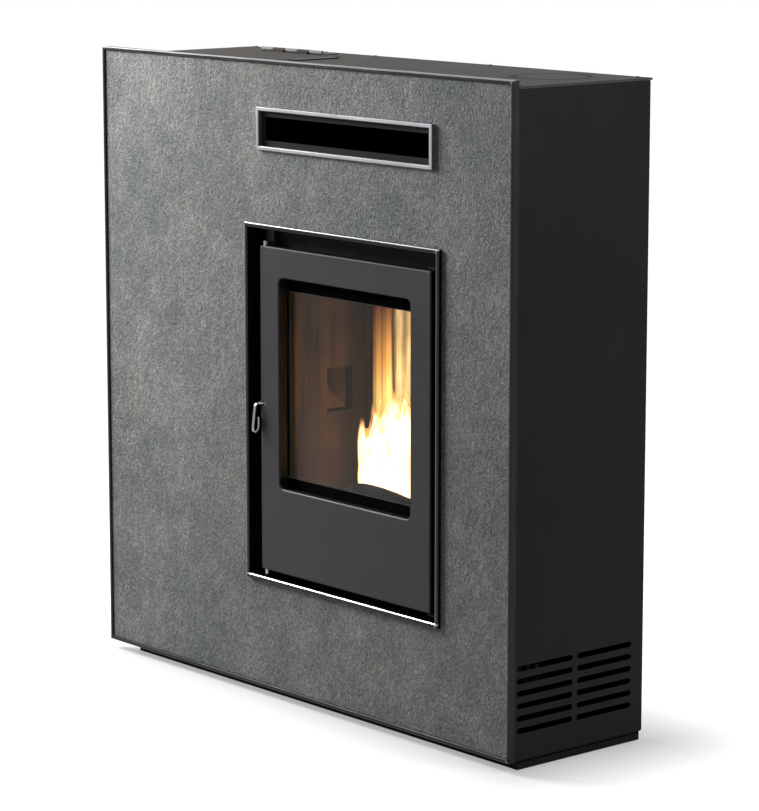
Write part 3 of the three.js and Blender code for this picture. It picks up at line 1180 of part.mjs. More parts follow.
function voluteOutline(inset) {
  const radius = (degrees) => FAN_RADIUS + 4 + ((VOLUTE_REACH - 4) * (degrees + 50)) / 320 - inset;
  const at = (degrees) => {
    const angle = THREE.MathUtils.degToRad(degrees);
    return [FAN_Y + radius(degrees) * Math.cos(angle), FAN_Z + radius(degrees) * Math.sin(angle)];
  };
  const points = [];
  for (let degrees = -50; degrees <= 270; degrees += 20) points.push(at(degrees));
  const bottom = FAN_Z - radius(270);
  const end = VOLUTE_END + (inset > 0 ? 1 : 0);
  points.push([end, bottom], [end, FAN_Z - 36 - inset]);
  return outline(points);
}

function smokeFanHousing() {
  const wall = 2;
  const shell = alongX(voluteOutline(0), VOLUTE_LEFT, VOLUTE_WIDTH);
  const inside = alongX(voluteOutline(wall), VOLUTE_LEFT + wall, VOLUTE_WIDTH - 2 * wall);
  const eye = rod(point(SHELL_RIGHT, FAN_Y, FAN_Z), point(VOLUTE_LEFT + wall + 1, FAN_Y, FAN_Z),
    SMOKE_DUCT - 2, 28);
  const shaft = rod(point(VOLUTE_LEFT + VOLUTE_WIDTH - 4, FAN_Y, FAN_Z),
    point(VOLUTE_LEFT + VOLUTE_WIDTH + 1, FAN_Y, FAN_Z), FAN_SHAFT + GAP, 16);
  const spigot = rod(point(SHELL_RIGHT + GAP, FAN_Y, FAN_Z), point(VOLUTE_LEFT + 1, FAN_Y, FAN_Z),
    SMOKE_DUCT, 28);
  return cut(join(shell, spigot), inside, eye, shaft);
}

function smokeFanImpeller() {
  const back = VOLUTE_LEFT + VOLUTE_WIDTH - 6;
  const front = VOLUTE_LEFT + 6;
  const plate = alongX(circle(0, 0, FAN_RADIUS), back - 2, 2, 0, 4);
  const hub = rod(point(front + 8, 0, 0), point(back - 1, 0, 0), 13, 20);
  const shaft = rod(point(back - 3, 0, 0), point(back + 12, 0, 0), FAN_SHAFT, 16);
  const blades = [];
  for (let i = 0; i < FAN_BLADES; i += 1) {
    const blade = new THREE.Shape();
    blade.absarc(FAN_RADIUS - 20, -FAN_RADIUS, FAN_RADIUS - 1, 1.28, 2.0, false);
    blade.absarc(FAN_RADIUS - 20, -FAN_RADIUS, FAN_RADIUS - 3, 2.0, 1.28, true);
    blades.push(alongX(blade, front, back - 1 - front)
      .rotateX((2 * Math.PI * i) / FAN_BLADES));
  }
  return join(plate, hub, shaft, ...blades).translate(0, FAN_Y, FAN_Z);
}

function smokeFanMotor() {
  const start = VOLUTE_LEFT + VOLUTE_WIDTH + GAP;
  const bore = FAN_SHAFT + GAP;
  const flange = SMOKE_MOTOR_RADIUS + 8;
  const profile = [
    [bore, 0], [flange, 0], [flange, 4], [SMOKE_MOTOR_RADIUS, 6],
    [SMOKE_MOTOR_RADIUS, SMOKE_MOTOR - 6], [SMOKE_MOTOR_RADIUS - 6, SMOKE_MOTOR],
    [0, SMOKE_MOTOR], [0, 12], [bore, 12], [bore, 0],
  ].map(([r, z]) => new THREE.Vector2(r, z));
  return new THREE.LatheGeometry(profile, 20)
    .rotateZ(-Math.PI / 2).translate(start, FAN_Y, FAN_Z);
}

function flueSocket() {
  const z = FLUE_Z;
  const half = FLUE_RADIUS + FLUE_FLANGE;
  const flange = alongY(rectangle(FLUE_X - half, z - half, FLUE_X + half, z + half, 6),
    VOLUTE_END + GAP, 3);
  const pipe = rod(point(FLUE_X, VOLUTE_END + 2, z), point(FLUE_X, DEPTH + FLUE_STUB, z),
    FLUE_RADIUS, 28);
  const bead = rod(point(FLUE_X, DEPTH + 8, z), point(FLUE_X, DEPTH + 11, z), FLUE_RADIUS + 1.5, 28);
  const bore = rod(point(FLUE_X, VOLUTE_END, z), point(FLUE_X, DEPTH + FLUE_STUB + 1, z),
    FLUE_RADIUS - 2, 28);
  return cut(join(flange, pipe, bead), bore);
}

function airInlet() {
  const pipe = rod(point(AIR_X, HOSE_START, AIR_Z), point(AIR_X, DEPTH + AIR_STUB, AIR_Z),
    AIR_RADIUS, 20);
  const collar = rod(point(AIR_X, REAR_INNER - 3.3, AIR_Z), point(AIR_X, REAR_INNER - GAP, AIR_Z),
    AIR_RADIUS + 7, 20);
  const bore = rod(point(AIR_X, HOSE_START - 1, AIR_Z), point(AIR_X, DEPTH + AIR_STUB + 1, AIR_Z),
    AIR_RADIUS - 2, 20);
  return cut(join(pipe, collar), bore);
}

// Corrugated hose: rings of alternating radius carried along a quarter bend.
function airHose() {
  const path = new THREE.CurvePath();
  const bend = HOSE_START - GAP - HOSE_Y;
  const start = point(AIR_X, HOSE_START - GAP, AIR_Z);
  const corner = point(AIR_X, HOSE_Y, AIR_Z);
  const turned = point(AIR_X, HOSE_Y, AIR_Z + bend);
  path.add(new THREE.QuadraticBezierCurve3(start, corner, turned));
  path.add(new THREE.LineCurve3(turned, point(AIR_X, HOSE_Y, SHELL_BOTTOM - GAP)));
  const tube = (base, swell, from, to, steps) => {
    const rings = [];
    for (let i = 0; i <= steps; i += 1) {
      const t = from + ((to - from) * i) / steps;
      const centre = path.getPointAt(THREE.MathUtils.clamp(t, 0, 1));
      const tangent = path.getTangentAt(THREE.MathUtils.clamp(t, 0, 1));
      const side = new THREE.Vector3(1, 0, 0);
      const up = new THREE.Vector3().crossVectors(tangent, side);
      const over = t < 0 || t > 1 ? 1.5 * Math.sign(t) : 0;
      const radius = base + swell * [0, 1, 1][i % 3];
      rings.push(Array.from({ length: HOSE_SIDES }, (_, j) => {
        const angle = (2 * Math.PI * j) / HOSE_SIDES;
        return centre.clone().addScaledVector(side, radius * Math.cos(angle))
          .addScaledVector(up, radius * Math.sin(angle)).addScaledVector(tangent, over);
      }));
    }
    return loft(rings);
  };
  return cut(tube(AIR_RADIUS - 1, 2.6, 0, 1, HOSE_RIBS * 3),
    tube(AIR_RADIUS - 3, 0, -0.001, 1.001, HOSE_RIBS));
}

add('smoke_fan_housing', smokeFanHousing(), CAST);
add('smoke_fan_impeller', smokeFanImpeller(), ZINC);
add('smoke_fan_motor', smokeFanMotor(), CAST);
add('flue_socket', flueSocket(), BLACK_PAINT);
add('air_inlet', airInlet(), BLACK_PAINT);
add('air_hose', airHose(), ZINC);

// ---------------------------------------------------------------- electrics
function controlBoard() {
  const back = CASE_LEFT + SHEET + GAP;
  const face = back + POST_LENGTH;
  const board = block(face, face + BOARD_THICK, BOARD_FRONT, BOARD_FRONT + BOARD_DEPTH, BOARD_LOW,
    BOARD_LOW + BOARD_HEIGHT);
  const onBoard = (y, z) => [BOARD_FRONT + y * BOARD_DEPTH, BOARD_LOW + z * BOARD_HEIGHT];
  const posts = [0.07, 0.93].flatMap((y) => [0.06, 0.94].map((z) => {
    const [postY, postZ] = onBoard(y, z);
    return rod(point(back, postY, postZ), point(face + 0.5, postY, postZ), BOARD_POST, 10);
  }));
  const chip = (y, z, depth, height, tall) => {
    const [y0, z0] = onBoard(y, z);
    const [y1, z1] = onBoard(y + depth, z + height);
    return block(face + 1, face + BOARD_THICK + tall * CHIP_TALL, y0, y1, z0, z1);
  };
  const transformer = chip(0.1, 0.67, 0.2, 0.25, 1);
  const relays = chip(0.4, 0.72, 0.2, 0.18, 0.7);
  const driver = chip(0.7, 0.44, 0.23, 0.22, 0.55);
  const terminals = chip(0.1, 0.06, 0.7, 0.07, 0.4);
  return join(board, ...posts, transformer, relays, driver, terminals);
}

function powerInlet() {
  const half = [INLET_WIDTH / 2, INLET_HEIGHT / 2];
  const body = block(INLET_X - half[0], INLET_X + half[0], DEPTH - 24, DEPTH + 1, INLET_Z - half[1],
    INLET_Z + half[1]);
  const flange = alongY(rectangle(INLET_X - half[0] - 5, INLET_Z - half[1] - 4, INLET_X + half[0] + 5,
    INLET_Z + half[1] + 4, 3), DEPTH + GAP, 2.2);
  const socketX = INLET_X - half[0] / 2;
  const well = block(socketX - 10, socketX + 10, DEPTH - 14, DEPTH + 4, INLET_Z - 9, INLET_Z + 9);
  const pins = [-6, 0, 6].map((x) => block(socketX + x - 0.9, socketX + x + 0.9, DEPTH - 15,
    DEPTH - 1, INLET_Z - 2.5 + (x ? 0 : 3), INLET_Z + 2.5 + (x ? 0 : 3)));
  const bay = block(SWITCH_X - 8.5, SWITCH_X + 8.5, DEPTH - 12, DEPTH + 4, INLET_Z - 11,
    INLET_Z + 11);
  return join(cut(join(body, flange), well, bay), ...pins);
}

// Rocker: two sloping faces that meet over the pivot.
function powerSwitch() {
  const shape = outline([
    [DEPTH - 3, -9.6], [DEPTH + 4.2, -9.2], [DEPTH + 2.4, 0], [DEPTH + 4.2, 9.2], [DEPTH - 3, 9.6],
    [DEPTH - 7, 5], [DEPTH - 7, -5],
  ]);
  return alongX(shape, SWITCH_X - 7.6, 15.2, 0.4).translate(0, 0, INLET_Z);
}

function controlDisplay() {
  const x0 = LID_RIGHT + SEAM + 4;
  return alongZ(rectangle(x0, LID_FRONT + 8, x0 + DISPLAY_WIDTH, LID_BACK - 28, 3), TOP_Z + GAP, 1.4,
    0.3);
}

add('control_board', controlBoard(), BOARD_GREEN);
add('power_inlet', powerInlet(), PLASTIC);
add('power_switch', powerSwitch(), PLASTIC);
add('control_display', controlDisplay(), PLASTIC);

// The origin goes under the middle of the whole, from the handle to the end of the flue socket.
const reach = new THREE.Box3().setFromObject(stove, true);
const middleY = (reach.min.y + reach.max.y) / 2;
for (const mesh of stove.children) mesh.position.y -= middleY;

export default stove;
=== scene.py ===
"""Dresses the pellet stove: finishes for every piece, the fire, the pellets, the fixings and a studio."""

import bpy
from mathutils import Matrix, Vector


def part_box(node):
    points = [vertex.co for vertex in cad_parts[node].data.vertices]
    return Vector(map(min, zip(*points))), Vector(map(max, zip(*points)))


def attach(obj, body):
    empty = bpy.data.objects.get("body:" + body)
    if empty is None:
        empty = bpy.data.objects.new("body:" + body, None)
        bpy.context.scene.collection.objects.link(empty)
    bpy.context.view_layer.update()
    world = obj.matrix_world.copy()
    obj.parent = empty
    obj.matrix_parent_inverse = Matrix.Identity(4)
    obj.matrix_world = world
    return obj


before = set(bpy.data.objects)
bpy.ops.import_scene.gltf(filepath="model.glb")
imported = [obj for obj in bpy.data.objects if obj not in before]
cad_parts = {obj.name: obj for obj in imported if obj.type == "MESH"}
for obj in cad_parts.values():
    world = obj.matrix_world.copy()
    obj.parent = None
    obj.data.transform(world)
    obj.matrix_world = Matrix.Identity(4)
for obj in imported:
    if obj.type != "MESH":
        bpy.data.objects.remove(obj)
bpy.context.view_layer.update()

import math
import random

import bmesh
import bpy
from bpy.props import FloatProperty, FloatVectorProperty, IntProperty, PointerProperty
from mathutils import Matrix, Vector

bl_info = {
    "name": "Pellet stove",
    "version": (1, 0, 0),
    "blender": (4, 5, 0),
    "location": "View3D > Sidebar > Pellet stove",
    "description": "Finishes, fire and fixings for a slim pellet stove",
    "category": "Object",
}

MM = 0.001

# The camera, fitted to the stove's straight edges in the photograph. Angles are in degrees.
CAMERA_LENS = 142.88
CAMERA_SENSOR = 36
CAMERA_PLACE = (3.9226, -3.3288, 1.3900)
CAMERA_YAW = 49.419
CAMERA_TILT = 90 - 10.0555

# Each softbox: its name, the setting with its power, where it is, what it points at and its size.
SOFTBOXES = (
    ("left_softbox", "key", (-1.7, -0.9, 1.7), (-0.1, -0.15, 0.68), (0.9, 0.9)),
    ("top_softbox", "top", (-0.5, 0.1, 3.1), (-0.2, 0.1, 0), (2.4, 1.6)),
    ("right_softbox", "side", (2.0, 0.6, 1.55), (0.5, 0.05, 0.75), (0.7, 0.9)),
)

# Each lick of flame: how far out it stands, its share of the full height, its width, its lean and its kind.
LICKS = (
    ((-0.034, -0.040), 0.84, 0.026, -0.004, "heart"),
    ((-0.016, -0.026), 0.95, 0.034, 0.002, "heart"),
    ((0.012, -0.016), 0.98, 0.034, 0.006, "heart"),
    ((0.032, 0.006), 0.9, 0.028, 0.010, "heart"),
    ((0.0, 0.016), 0.88, 0.030, 0.0, "heart"),
    ((-0.046, -0.050), 0.82, 0.012, -0.008, "tongue"),
    ((-0.030, -0.024), 0.94, 0.018, 0.004, "tongue"),
    ((-0.014, -0.012), 1.0, 0.020, -0.004, "tongue"),
    ((0.010, 0.004), 0.97, 0.018, 0.004, "tongue"),
    ((0.034, -0.010), 0.99, 0.020, 0.006, "tongue"),
    ((-0.040, -0.022), 1.0, 0.024, 0.004, "haze"),
    ((-0.014, 0.002), 1.0, 0.036, 0.0, "haze"),
    ((0.014, 0.012), 1.0, 0.038, 0.004, "haze"),
    ((0.040, 0.012), 1.0, 0.032, 0.004, "haze"),
)

# A full turn in radians, as the flames and the pellets use it.
ROUND = 6.28

# Where the painted firelight on the firebox's back panel starts and stops changing colour, in metres up.
PAINTED_GLOW_HEIGHTS = (0.49, 0.63)


# ---------------- colours and node helpers


def tone(text):
    """A colour written as #rrggbb, as the linear colour a shader takes."""
    parts = [int(text[i : i + 2], 16) / 255 for i in (1, 3, 5)]
    return [p / 12.92 if p <= 0.04045 else ((p + 0.055) / 1.055) ** 2.4 for p in parts]


def grey(level):
    """A linear grey."""
    return (level,) * 3


def shade(colour, *factors):
    """The same colour darker or paler, once for each factor."""
    return [[min(1.0, part * factor) for part in list(colour)[:3]] for factor in factors]


def rgba(colour):
    """A colour of three or four numbers as the four that a socket takes."""
    return (*list(colour)[:3], 1.0)


def node(tree, kind, inputs=None, **settings):
    """A new node with its settings, its fixed inputs and its links."""
    made = tree.nodes.new(kind)
    for key, value in settings.items():
        setattr(made, key, value)
    for key, value in (inputs or {}).items():
        socket = made.inputs[key]
        if isinstance(value, bpy.types.NodeSocket):
            tree.links.new(value, socket)
        else:
            socket.default_value = value
    return made


def emptied(owner):
    """The node tree of a material or a world, with nothing in it yet."""
    owner.use_nodes = True
    owner.node_tree.nodes.clear()
    return owner.node_tree


def new_finish(name, roughness, metallic=0.0, specular=0.5, **sockets):
    """A material with a Principled shader. Returns the material, its tree and the shader."""
    material = bpy.data.materials.new(name)
    tree = emptied(material)
    inputs = {"Roughness": roughness, "Metallic": metallic, "Specular IOR Level": specular}
    inputs |= {key.replace("_", " "): value for key, value in sockets.items()}
    shader = node(tree, "ShaderNodeBsdfPrincipled", inputs)
    node(tree, "ShaderNodeOutputMaterial", {"Surface": shader.outputs["BSDF"]})
    return material, tree, shader


def drive(tree, shader, **sources):
    """Links values to a shader's inputs: base_color, roughness and so on."""
    for name, source in sources.items():
        tree.links.new(source, shader.inputs[name.replace("_", " ").title()])


def finish_of(material):
    """The tree of a finish, its shader and what drives its base colour."""
    tree = material.node_tree
    shader = next(n for n in tree.nodes if n.type == "BSDF_PRINCIPLED")
    return tree, shader, shader.inputs["Base Color"].links[0].from_socket


def place(tree, scale=(1, 1, 1), turn=(0, 0, 0), move=(0, 0, 0)):
    """Object coordinates, moved, turned and stretched."""
    coords = node(tree, "ShaderNodeTexCoord").outputs["Object"]
    inputs = {"Vector": coords, "Scale": scale, "Rotation": turn, "Location": move}
    return node(tree, "ShaderNodeMapping", inputs).outputs["Vector"]


def axes(tree, vector):
    """The three parts of a vector."""
    return node(tree, "ShaderNodeSeparateXYZ", {"Vector": vector}).outputs


def along(tree, axis):
    """Where a point lies on one axis."""
    return axes(tree, place(tree))[axis]


def noise(tree, vector, scale, detail=3.0, roughness=0.55, distortion=0.0):
    """Cloudy noise from 0 to 1, with so many clouds to a metre."""
    inputs = {"Vector": vector, "Scale": scale, "Detail": detail, "Roughness": roughness}
    return node(tree, "ShaderNodeTexNoise", inputs | {"Distortion": distortion}).outputs["Fac"]


def cells(tree, vector, scale, feature="F1"):
    """A cell pattern, with so many cells to a metre."""
    inputs = {"Vector": vector, "Scale": scale}
    return node(tree, "ShaderNodeTexVoronoi", inputs, feature=feature).outputs["Distance"]


def ramp(tree, fac, *stops):
    """Colours along a value. Each stop is (place, colour)."""
    made = node(tree, "ShaderNodeValToRGB", {"Fac": fac})
    points = made.color_ramp.elements
    points[0].position, points[1].position = stops[0][0], stops[-1][0]
    points[0].color, points[1].color = rgba(stops[0][1]), rgba(stops[-1][1])
    for where, colour in stops[1:-1]:
        points.new(where).color = rgba(colour)
    return made.outputs["Color"]


def remap(tree, fac, low, high, out_low=0.0, out_high=1.0):
    """A value stretched from one range to another, and held inside it."""
    inputs = {"Value": fac, "From Min": low, "From Max": high, "To Min": out_low, "To Max": out_high}
    return node(tree, "ShaderNodeMapRange", inputs).outputs["Result"]


def maths(tree, operation, first, second=0.0):
    """One sum of two values, in a material or in Geometry Nodes."""
    return node(tree, "ShaderNodeMath", {0: first, 1: second}, operation=operation).outputs["Value"]


def gap(tree, value, mark):
    """How far a value is from a mark, either way."""
    return maths(tree, "ABSOLUTE", maths(tree, "SUBTRACT", value, mark))


def blend(tree, fac, first, second, way="MIX"):
    """Two colours mixed. The colour sockets of the node are its inputs 6 and 7 and its output 2."""
    given = [c if isinstance(c, bpy.types.NodeSocket) else rgba(c) for c in (first, second)]
    inputs = {0: fac, 6: given[0], 7: given[1]}
    return node(tree, "ShaderNodeMix", inputs, data_type="RGBA", blend_type=way).outputs[2]


def gritty(tree, fac, colour, pattern, *stops):
    """A colour with a grey pattern laid over it. Each stop is (place, grey level)."""
    greys = ramp(tree, pattern, *((where, grey(level)) for where, level in stops))
    return blend(tree, fac, colour, greys, "OVERLAY")


def relief(tree, shader, height, distance, strength=1.0):
    """Bumps the shader's surface by a height."""
    inputs = {"Height": height, "Distance": distance, "Strength": strength}
    drive(tree, shader, normal=node(tree, "ShaderNodeBump", inputs).outputs["Normal"])


# ---------------- pieces


def dress(material, *names):
    """Gives CAD nodes a material in every slot."""
    for name in names:
        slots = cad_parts[name].data.materials
        if not len(slots):
            slots.append(material)
        for index in range(len(slots)):
            slots[index] = material


def put(name, data):
    """A new object in the scene, at the origin."""
    made = bpy.data.objects.new(name, data)
    bpy.context.scene.collection.objects.link(made)
    return made


def finish_piece(name, mesh, material, body):
    """A new piece at the origin that rides on a body."""
    mesh.materials.clear()
    mesh.materials.append(material)
    piece = put(name, mesh)
    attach(piece, body)
    return piece


def plain_mesh(name, mesh):
    """Writes a bmesh out as a mesh."""
    data = bpy.data.meshes.new(name)
    mesh.to_mesh(data)
    mesh.free()
    return data


def settled(host):
    """The plain mesh that a host's modifiers make of it. The host goes."""
    graph = bpy.context.evaluated_depsgraph_get()
    made = bpy.data.meshes.new_from_object(host.evaluated_get(graph))
    bpy.data.objects.remove(host)
    return made


# ---------------- finishes


def stoneware(settings):
    """Fired stoneware with a split-stone relief: cloudy greys with blue and brown in them."""
    material, tree, shader = new_finish("stoneware", 0.55, specular=0.08)
    flat = place(tree)
    slanted = place(tree, scale=(1.5, 1.0, 0.75), turn=(0, math.radians(-34), 0))
    clouds = noise(tree, flat, settings.cloud_scale, 5, 0.6, 0.4)
    patches = noise(tree, flat, settings.cloud_scale * 4.5, 5, 0.62)
    tint = noise(tree, place(tree, move=(3, 1, 2)), settings.cloud_scale * 1.9, 4, 0.6)
    grain = noise(tree, flat, settings.grain_scale, 3, 0.65)
    level = maths(tree, "ADD", maths(tree, "MULTIPLY", clouds, 0.45), maths(tree, "MULTIPLY", patches, 0.55))
    greys = ramp(tree, level, (0.33, settings.dark), (0.5, settings.middle), (0.66, settings.light))
    cool = blend(tree, remap(tree, tint, 0.36, 0.5, 0.75, 0.0), greys, settings.cool, "MULTIPLY")
    warm = blend(tree, remap(tree, tint, 0.52, 0.68, 0.0, 0.8), cool, settings.warm, "MULTIPLY")
    speckled = gritty(tree, 0.65, warm, grain, (0.32, 0.24), (0.5, 0.5), (0.68, 0.88))
    drive(tree, shader, base_color=speckled, roughness=remap(tree, patches, 0.3, 0.7, 0.42, 0.62))
    lumps = noise(tree, slanted, settings.relief_scale, 4, 0.6, 0.7)
    pits = remap(tree, cells(tree, slanted, settings.relief_scale * 1.6, "SMOOTH_F1"), 0.0, 0.5)
    swell = noise(tree, slanted, settings.relief_scale * 0.22, 3, 0.5)
    depth = 0.0
    for form, share in ((lumps, 0.62), (pits, 0.2), (swell, 0.5)):
        depth = maths(tree, "ADD", maths(tree, "MULTIPLY", form, share), depth)
    relief(tree, shader, depth, settings.relief_depth, 0.9)
    return material


def paint(name, colour, roughness, specular, texture=0.00004, fade=0.16, coarse=950.0):
    """Stove paint or powder coat: a fine orange peel, faint clouds and rubbed-brighter patches."""
    material, tree, shader = new_finish(name, roughness, specular=specular)
    flat = place(tree)
    clouds = noise(tree, flat, 6.0, 4, 0.6)
    peel = noise(tree, flat, coarse, 2, 0.6)
    flecks = noise(tree, flat, coarse * 0.45, 2, 0.7)
    low, high = shade(colour, 1 - fade, 1 + fade)
    cloudy = ramp(tree, clouds, (0.35, low), (0.65, high))
    flecked = gritty(tree, 0.35, cloudy, flecks, (0.3, 0.36), (0.7, 0.66))
    shine = remap(tree, clouds, 0.3, 0.7, roughness - 0.05, roughness + 0.06)
    drive(tree, shader, base_color=flecked, roughness=shine)
    relief(tree, shader, peel, texture)
    return material


def brushed(name, colour, roughness, axis="x", depth=0.00002, fade=0.12):
    """Metal with fine brush lines that run along one axis."""
    material, tree, shader = new_finish(name, roughness, metallic=1.0)
    stretch = [12 if letter == axis else 900 for letter in "xyz"]
    lines = noise(tree, place(tree, scale=stretch), 1.0, 3, 0.6)
    clouds = noise(tree, place(tree), 14.0, 3, 0.5)
    low, high = shade(colour, 1 - fade, 1 + fade)
    shine = remap(tree, clouds, 0.3, 0.7, roughness - 0.04, roughness + 0.08)
    drive(tree, shader, base_color=ramp(tree, lines, (0.3, low), (0.7, high)), roughness=shine)
    relief(tree, shader, lines, depth)
    return material


def cast(name, colour, roughness, rust):
    """Sand-cast iron that has been hot: grainy, with ash-grey and rust in its hollows."""
    material, tree, shader = new_finish(name, roughness, metallic=0.35, specular=0.3)
    flat = place(tree)
    sand = noise(tree, flat, 620.0, 3, 0.7)
    stains = noise(tree, flat, 22.0, 5, 0.65, 0.5)
    sooty = ramp(tree, stains, (0.35, *shade(colour, 0.6)), (0.55, colour), (0.75, rust))
    sandy = gritty(tree, 0.5, sooty, sand, (0.3, 0.35), (0.7, 0.68))
    shine = remap(tree, stains, 0.3, 0.7, roughness - 0.1, roughness + 0.1)
    drive(tree, shader, base_color=sandy, roughness=shine)
    relief(tree, shader, sand, 0.00025)
    return material


def paint_light_along(material, axis, clean, deep, colour):
    """Paints light and shade into a finish by place: it turns to another colour from one place on an axis to
    another.
    """
    tree, shader, base = finish_of(material)
    share = remap(tree, along(tree, axis), clean, deep)
    drive(tree, shader, base_color=blend(tree, share, base, colour))
    return material


def paint_ring_shade(material, centre, radius, width, colour):
    """Paints shade: a dark ring for the shaded edge of a round blank's step, or a dark dot for a shaded hole
    if it has no radius.
    """
    tree, shader, base = finish_of(material)
    flat = place(tree, scale=(1, 1, 0), move=(-centre.x, -centre.y, 0))
    out = node(tree, "ShaderNodeVectorMath", {0: flat}, operation="LENGTH").outputs["Value"]
    ring = remap(tree, gap(tree, out, radius), width * 0.7, width * 1.3, 1.0, 0.0)
    drive(tree, shader, base_color=blend(tree, ring, base, colour))
    return material


def paint_bevel_highlights(material, name, face, width, colour, sill_shade=None):
    """Paints highlights on a frame's bevels where light catches them: outer ones on the left and top, inner
    ones on the right and bottom. A sill colour, if given, is painted shade on the inner bottom one instead.
    """
    tree, shader, base = finish_of(material)
    low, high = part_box(name)
    front = remap(tree, along(tree, "Y"), low.y + 2.5 * MM, low.y + 3 * MM, 1.0, 0.0)
    # Each painted line: its axis, where its middle lies and its colour, a highlight or the sill's painted
    # shade.
    painted_lines = (
        ("X", low.x + width / 2, colour),
        ("Z", high.z - width / 2, colour),
        ("X", high.x - face + width / 2, colour),
        ("Z", low.z + face - width / 2, sill_shade or colour),
    )
    for axis, edge, tint in painted_lines:
        near = remap(tree, gap(tree, along(tree, axis), edge), width * 0.5, width * 0.8, 1.0, 0.0)
        base = blend(tree, maths(tree, "MULTIPLY", near, front), base, tint)
    drive(tree, shader, base_color=base)
    return material


def refractory(name, pale, dark, soot, painted_glow_tones=None, clean_from=None):
    """Pressed vermiculite board: flaky and sooted.

    Right of clean_from it is burnt clean. The band left of that is painted firelight, in three colours from
    low up, and sooted beyond it.
    """
    material, tree, shader = new_finish(name, 0.9, specular=0.15)
    flat = place(tree)
    streaks = noise(tree, place(tree, scale=(50, 50, 2.5)), 1.0, 4, 0.6, 0.4)
    flakes = cells(tree, flat, 520.0)
    clouds = noise(tree, flat, 9.0, 4, 0.6)
    board = ramp(tree, clouds, (0.35, dark), (0.65, pale))
    sooty = blend(tree, remap(tree, streaks, 0.4, 0.64, 0.0, 0.9), board, soot)
    if clean_from is not None:
        ragged = remap(tree, streaks, 0.3, 0.7, -4 * MM, 4 * MM)
        across = maths(tree, "ADD", axes(tree, flat)["X"], ragged)
        # Painted firelight: just left of clean_from the board is pale cream low down and browner higher up,
        # for the glow of the flames on it.
        height = remap(tree, along(tree, "Z"), *PAINTED_GLOW_HEIGHTS)
        glow_by_height = ramp(tree, height, *zip((0.0, 0.35, 1.0), painted_glow_tones))
        glow_share = remap(tree, across, clean_from - 52 * MM, clean_from - 26 * MM)
        edge = blend(tree, glow_share, soot, glow_by_height)
        burnt = remap(tree, across, clean_from - 3 * MM, clean_from + 3 * MM, 1.0, 0.0)
        sooty = blend(tree, burnt, sooty, edge)
    drive(tree, shader, base_color=gritty(tree, 0.2, sooty, flakes, (0.1, 0.4), (0.6, 0.62)))
    relief(tree, shader, flakes, 0.0001)
    return material


def rope(name, colour):
    """Braided glass-fibre rope."""
    material, tree, shader = new_finish(name, 0.95, specular=0.1)
    slanted = place(tree, turn=(0.6, 0.8, 0.7))
    inputs = {"Vector": slanted, "Scale": 420.0, "Distortion": 1.5, "Detail": 2.0}
    bands = {"wave_type": "BANDS", "bands_direction": "DIAGONAL"}
    braid = node(tree, "ShaderNodeTexWave", inputs, **bands).outputs["Fac"]
    fuzz = noise(tree, place(tree), 900.0, 3, 0.6)
    strands = ramp(tree, braid, (0.2, *shade(colour, 0.45)), (0.75, colour))
    drive(tree, shader, base_color=gritty(tree, 0.4, strands, fuzz, (0.3, 0.36), (0.7, 0.64)))
    relief(tree, shader, braid, 0.0006)
    return material


def circuit(name, board, copper):
    """Solder-masked board with copper runs and pale solder spots."""
    material, tree, shader = new_finish(name, 0.42, specular=0.5)
    upright = place(tree, turn=(0, math.pi / 2, 0))
    inputs = {"Vector": upright, "Scale": 90.0, "Mortar Size": 0.035}
    runs = node(tree, "ShaderNodeTexBrick", inputs).outputs["Fac"]
    spots = remap(tree, cells(tree, place(tree), 210.0), 0.1, 0.16, 0.8, 0.0)
    traces = blend(tree, runs, board, copper)
    drive(tree, shader, base_color=blend(tree, spots, traces, (0.45, 0.45, 0.43)))
    relief(tree, shader, runs, 0.00005)
    return material


def plastic(name, colour, roughness, grain_depth, specular=0.4):
    """Moulded plastic with a spark-eroded grain."""
    material, tree, shader = new_finish(name, roughness, specular=specular)
    flat = place(tree)
    grain = noise(tree, flat, 1400.0, 2, 0.6)
    clouds = noise(tree, flat, 35.0, 3, 0.5)
    low, high = shade(colour, 0.85, 1.2)
    shine = remap(tree, grain, 0.3, 0.7, roughness, roughness + 0.08)
    drive(tree, shader, base_color=ramp(tree, clouds, (0.35, low), (0.65, high)), roughness=shine)
    relief(tree, shader, grain, grain_depth)
    return material


def fire_glass(name, haze, top, bottom):
    """Ceramic glass with a faint brown haze from the fire, with near-black bands of painted shade above and
    below its clear part and a painted highlight along their edges.
    """
    material, tree, shader = new_finish(name, 0.02, specular=0.3, Transmission_Weight=1.0, IOR=1.16)
    clouds = noise(tree, place(tree, scale=(6, 6, 3)), 1.0, 4, 0.6)
    hazy = ramp(tree, clouds, (0.35, (0.97, 0.96, 0.95)), (0.7, haze))
    drive(tree, shader, base_color=hazy, roughness=remap(tree, clouds, 0.35, 0.75, 0.0, 0.006))
    # Painted shade: above top and below bottom the glass is near black, for the shaded inner frame behind it.
    height = along(tree, "Z")
    blur = 0.2 * MM
    above = remap(tree, height, top - blur, top + blur)
    below = remap(tree, height, bottom - blur, bottom + blur, 1.0, 0.0)
    shade_bands = maths(tree, "MAXIMUM", above, below)
    # Painted highlight: a paler line where each band meets the clear glass, for the frame's lit edge.
    nearest = maths(tree, "MINIMUM", *(gap(tree, height, edge) for edge in (top, bottom)))
    rim = remap(tree, nearest, 0.5 * MM, 1.2 * MM, 1.0, 0.0)
    band_shade = node(tree, "ShaderNodeBsdfDiffuse", {"Color": blend(tree, rim, grey(0.004), grey(0.12))})
    show_mixed(tree, shade_bands, shader.outputs["BSDF"], band_shade.outputs["BSDF"])
    return material


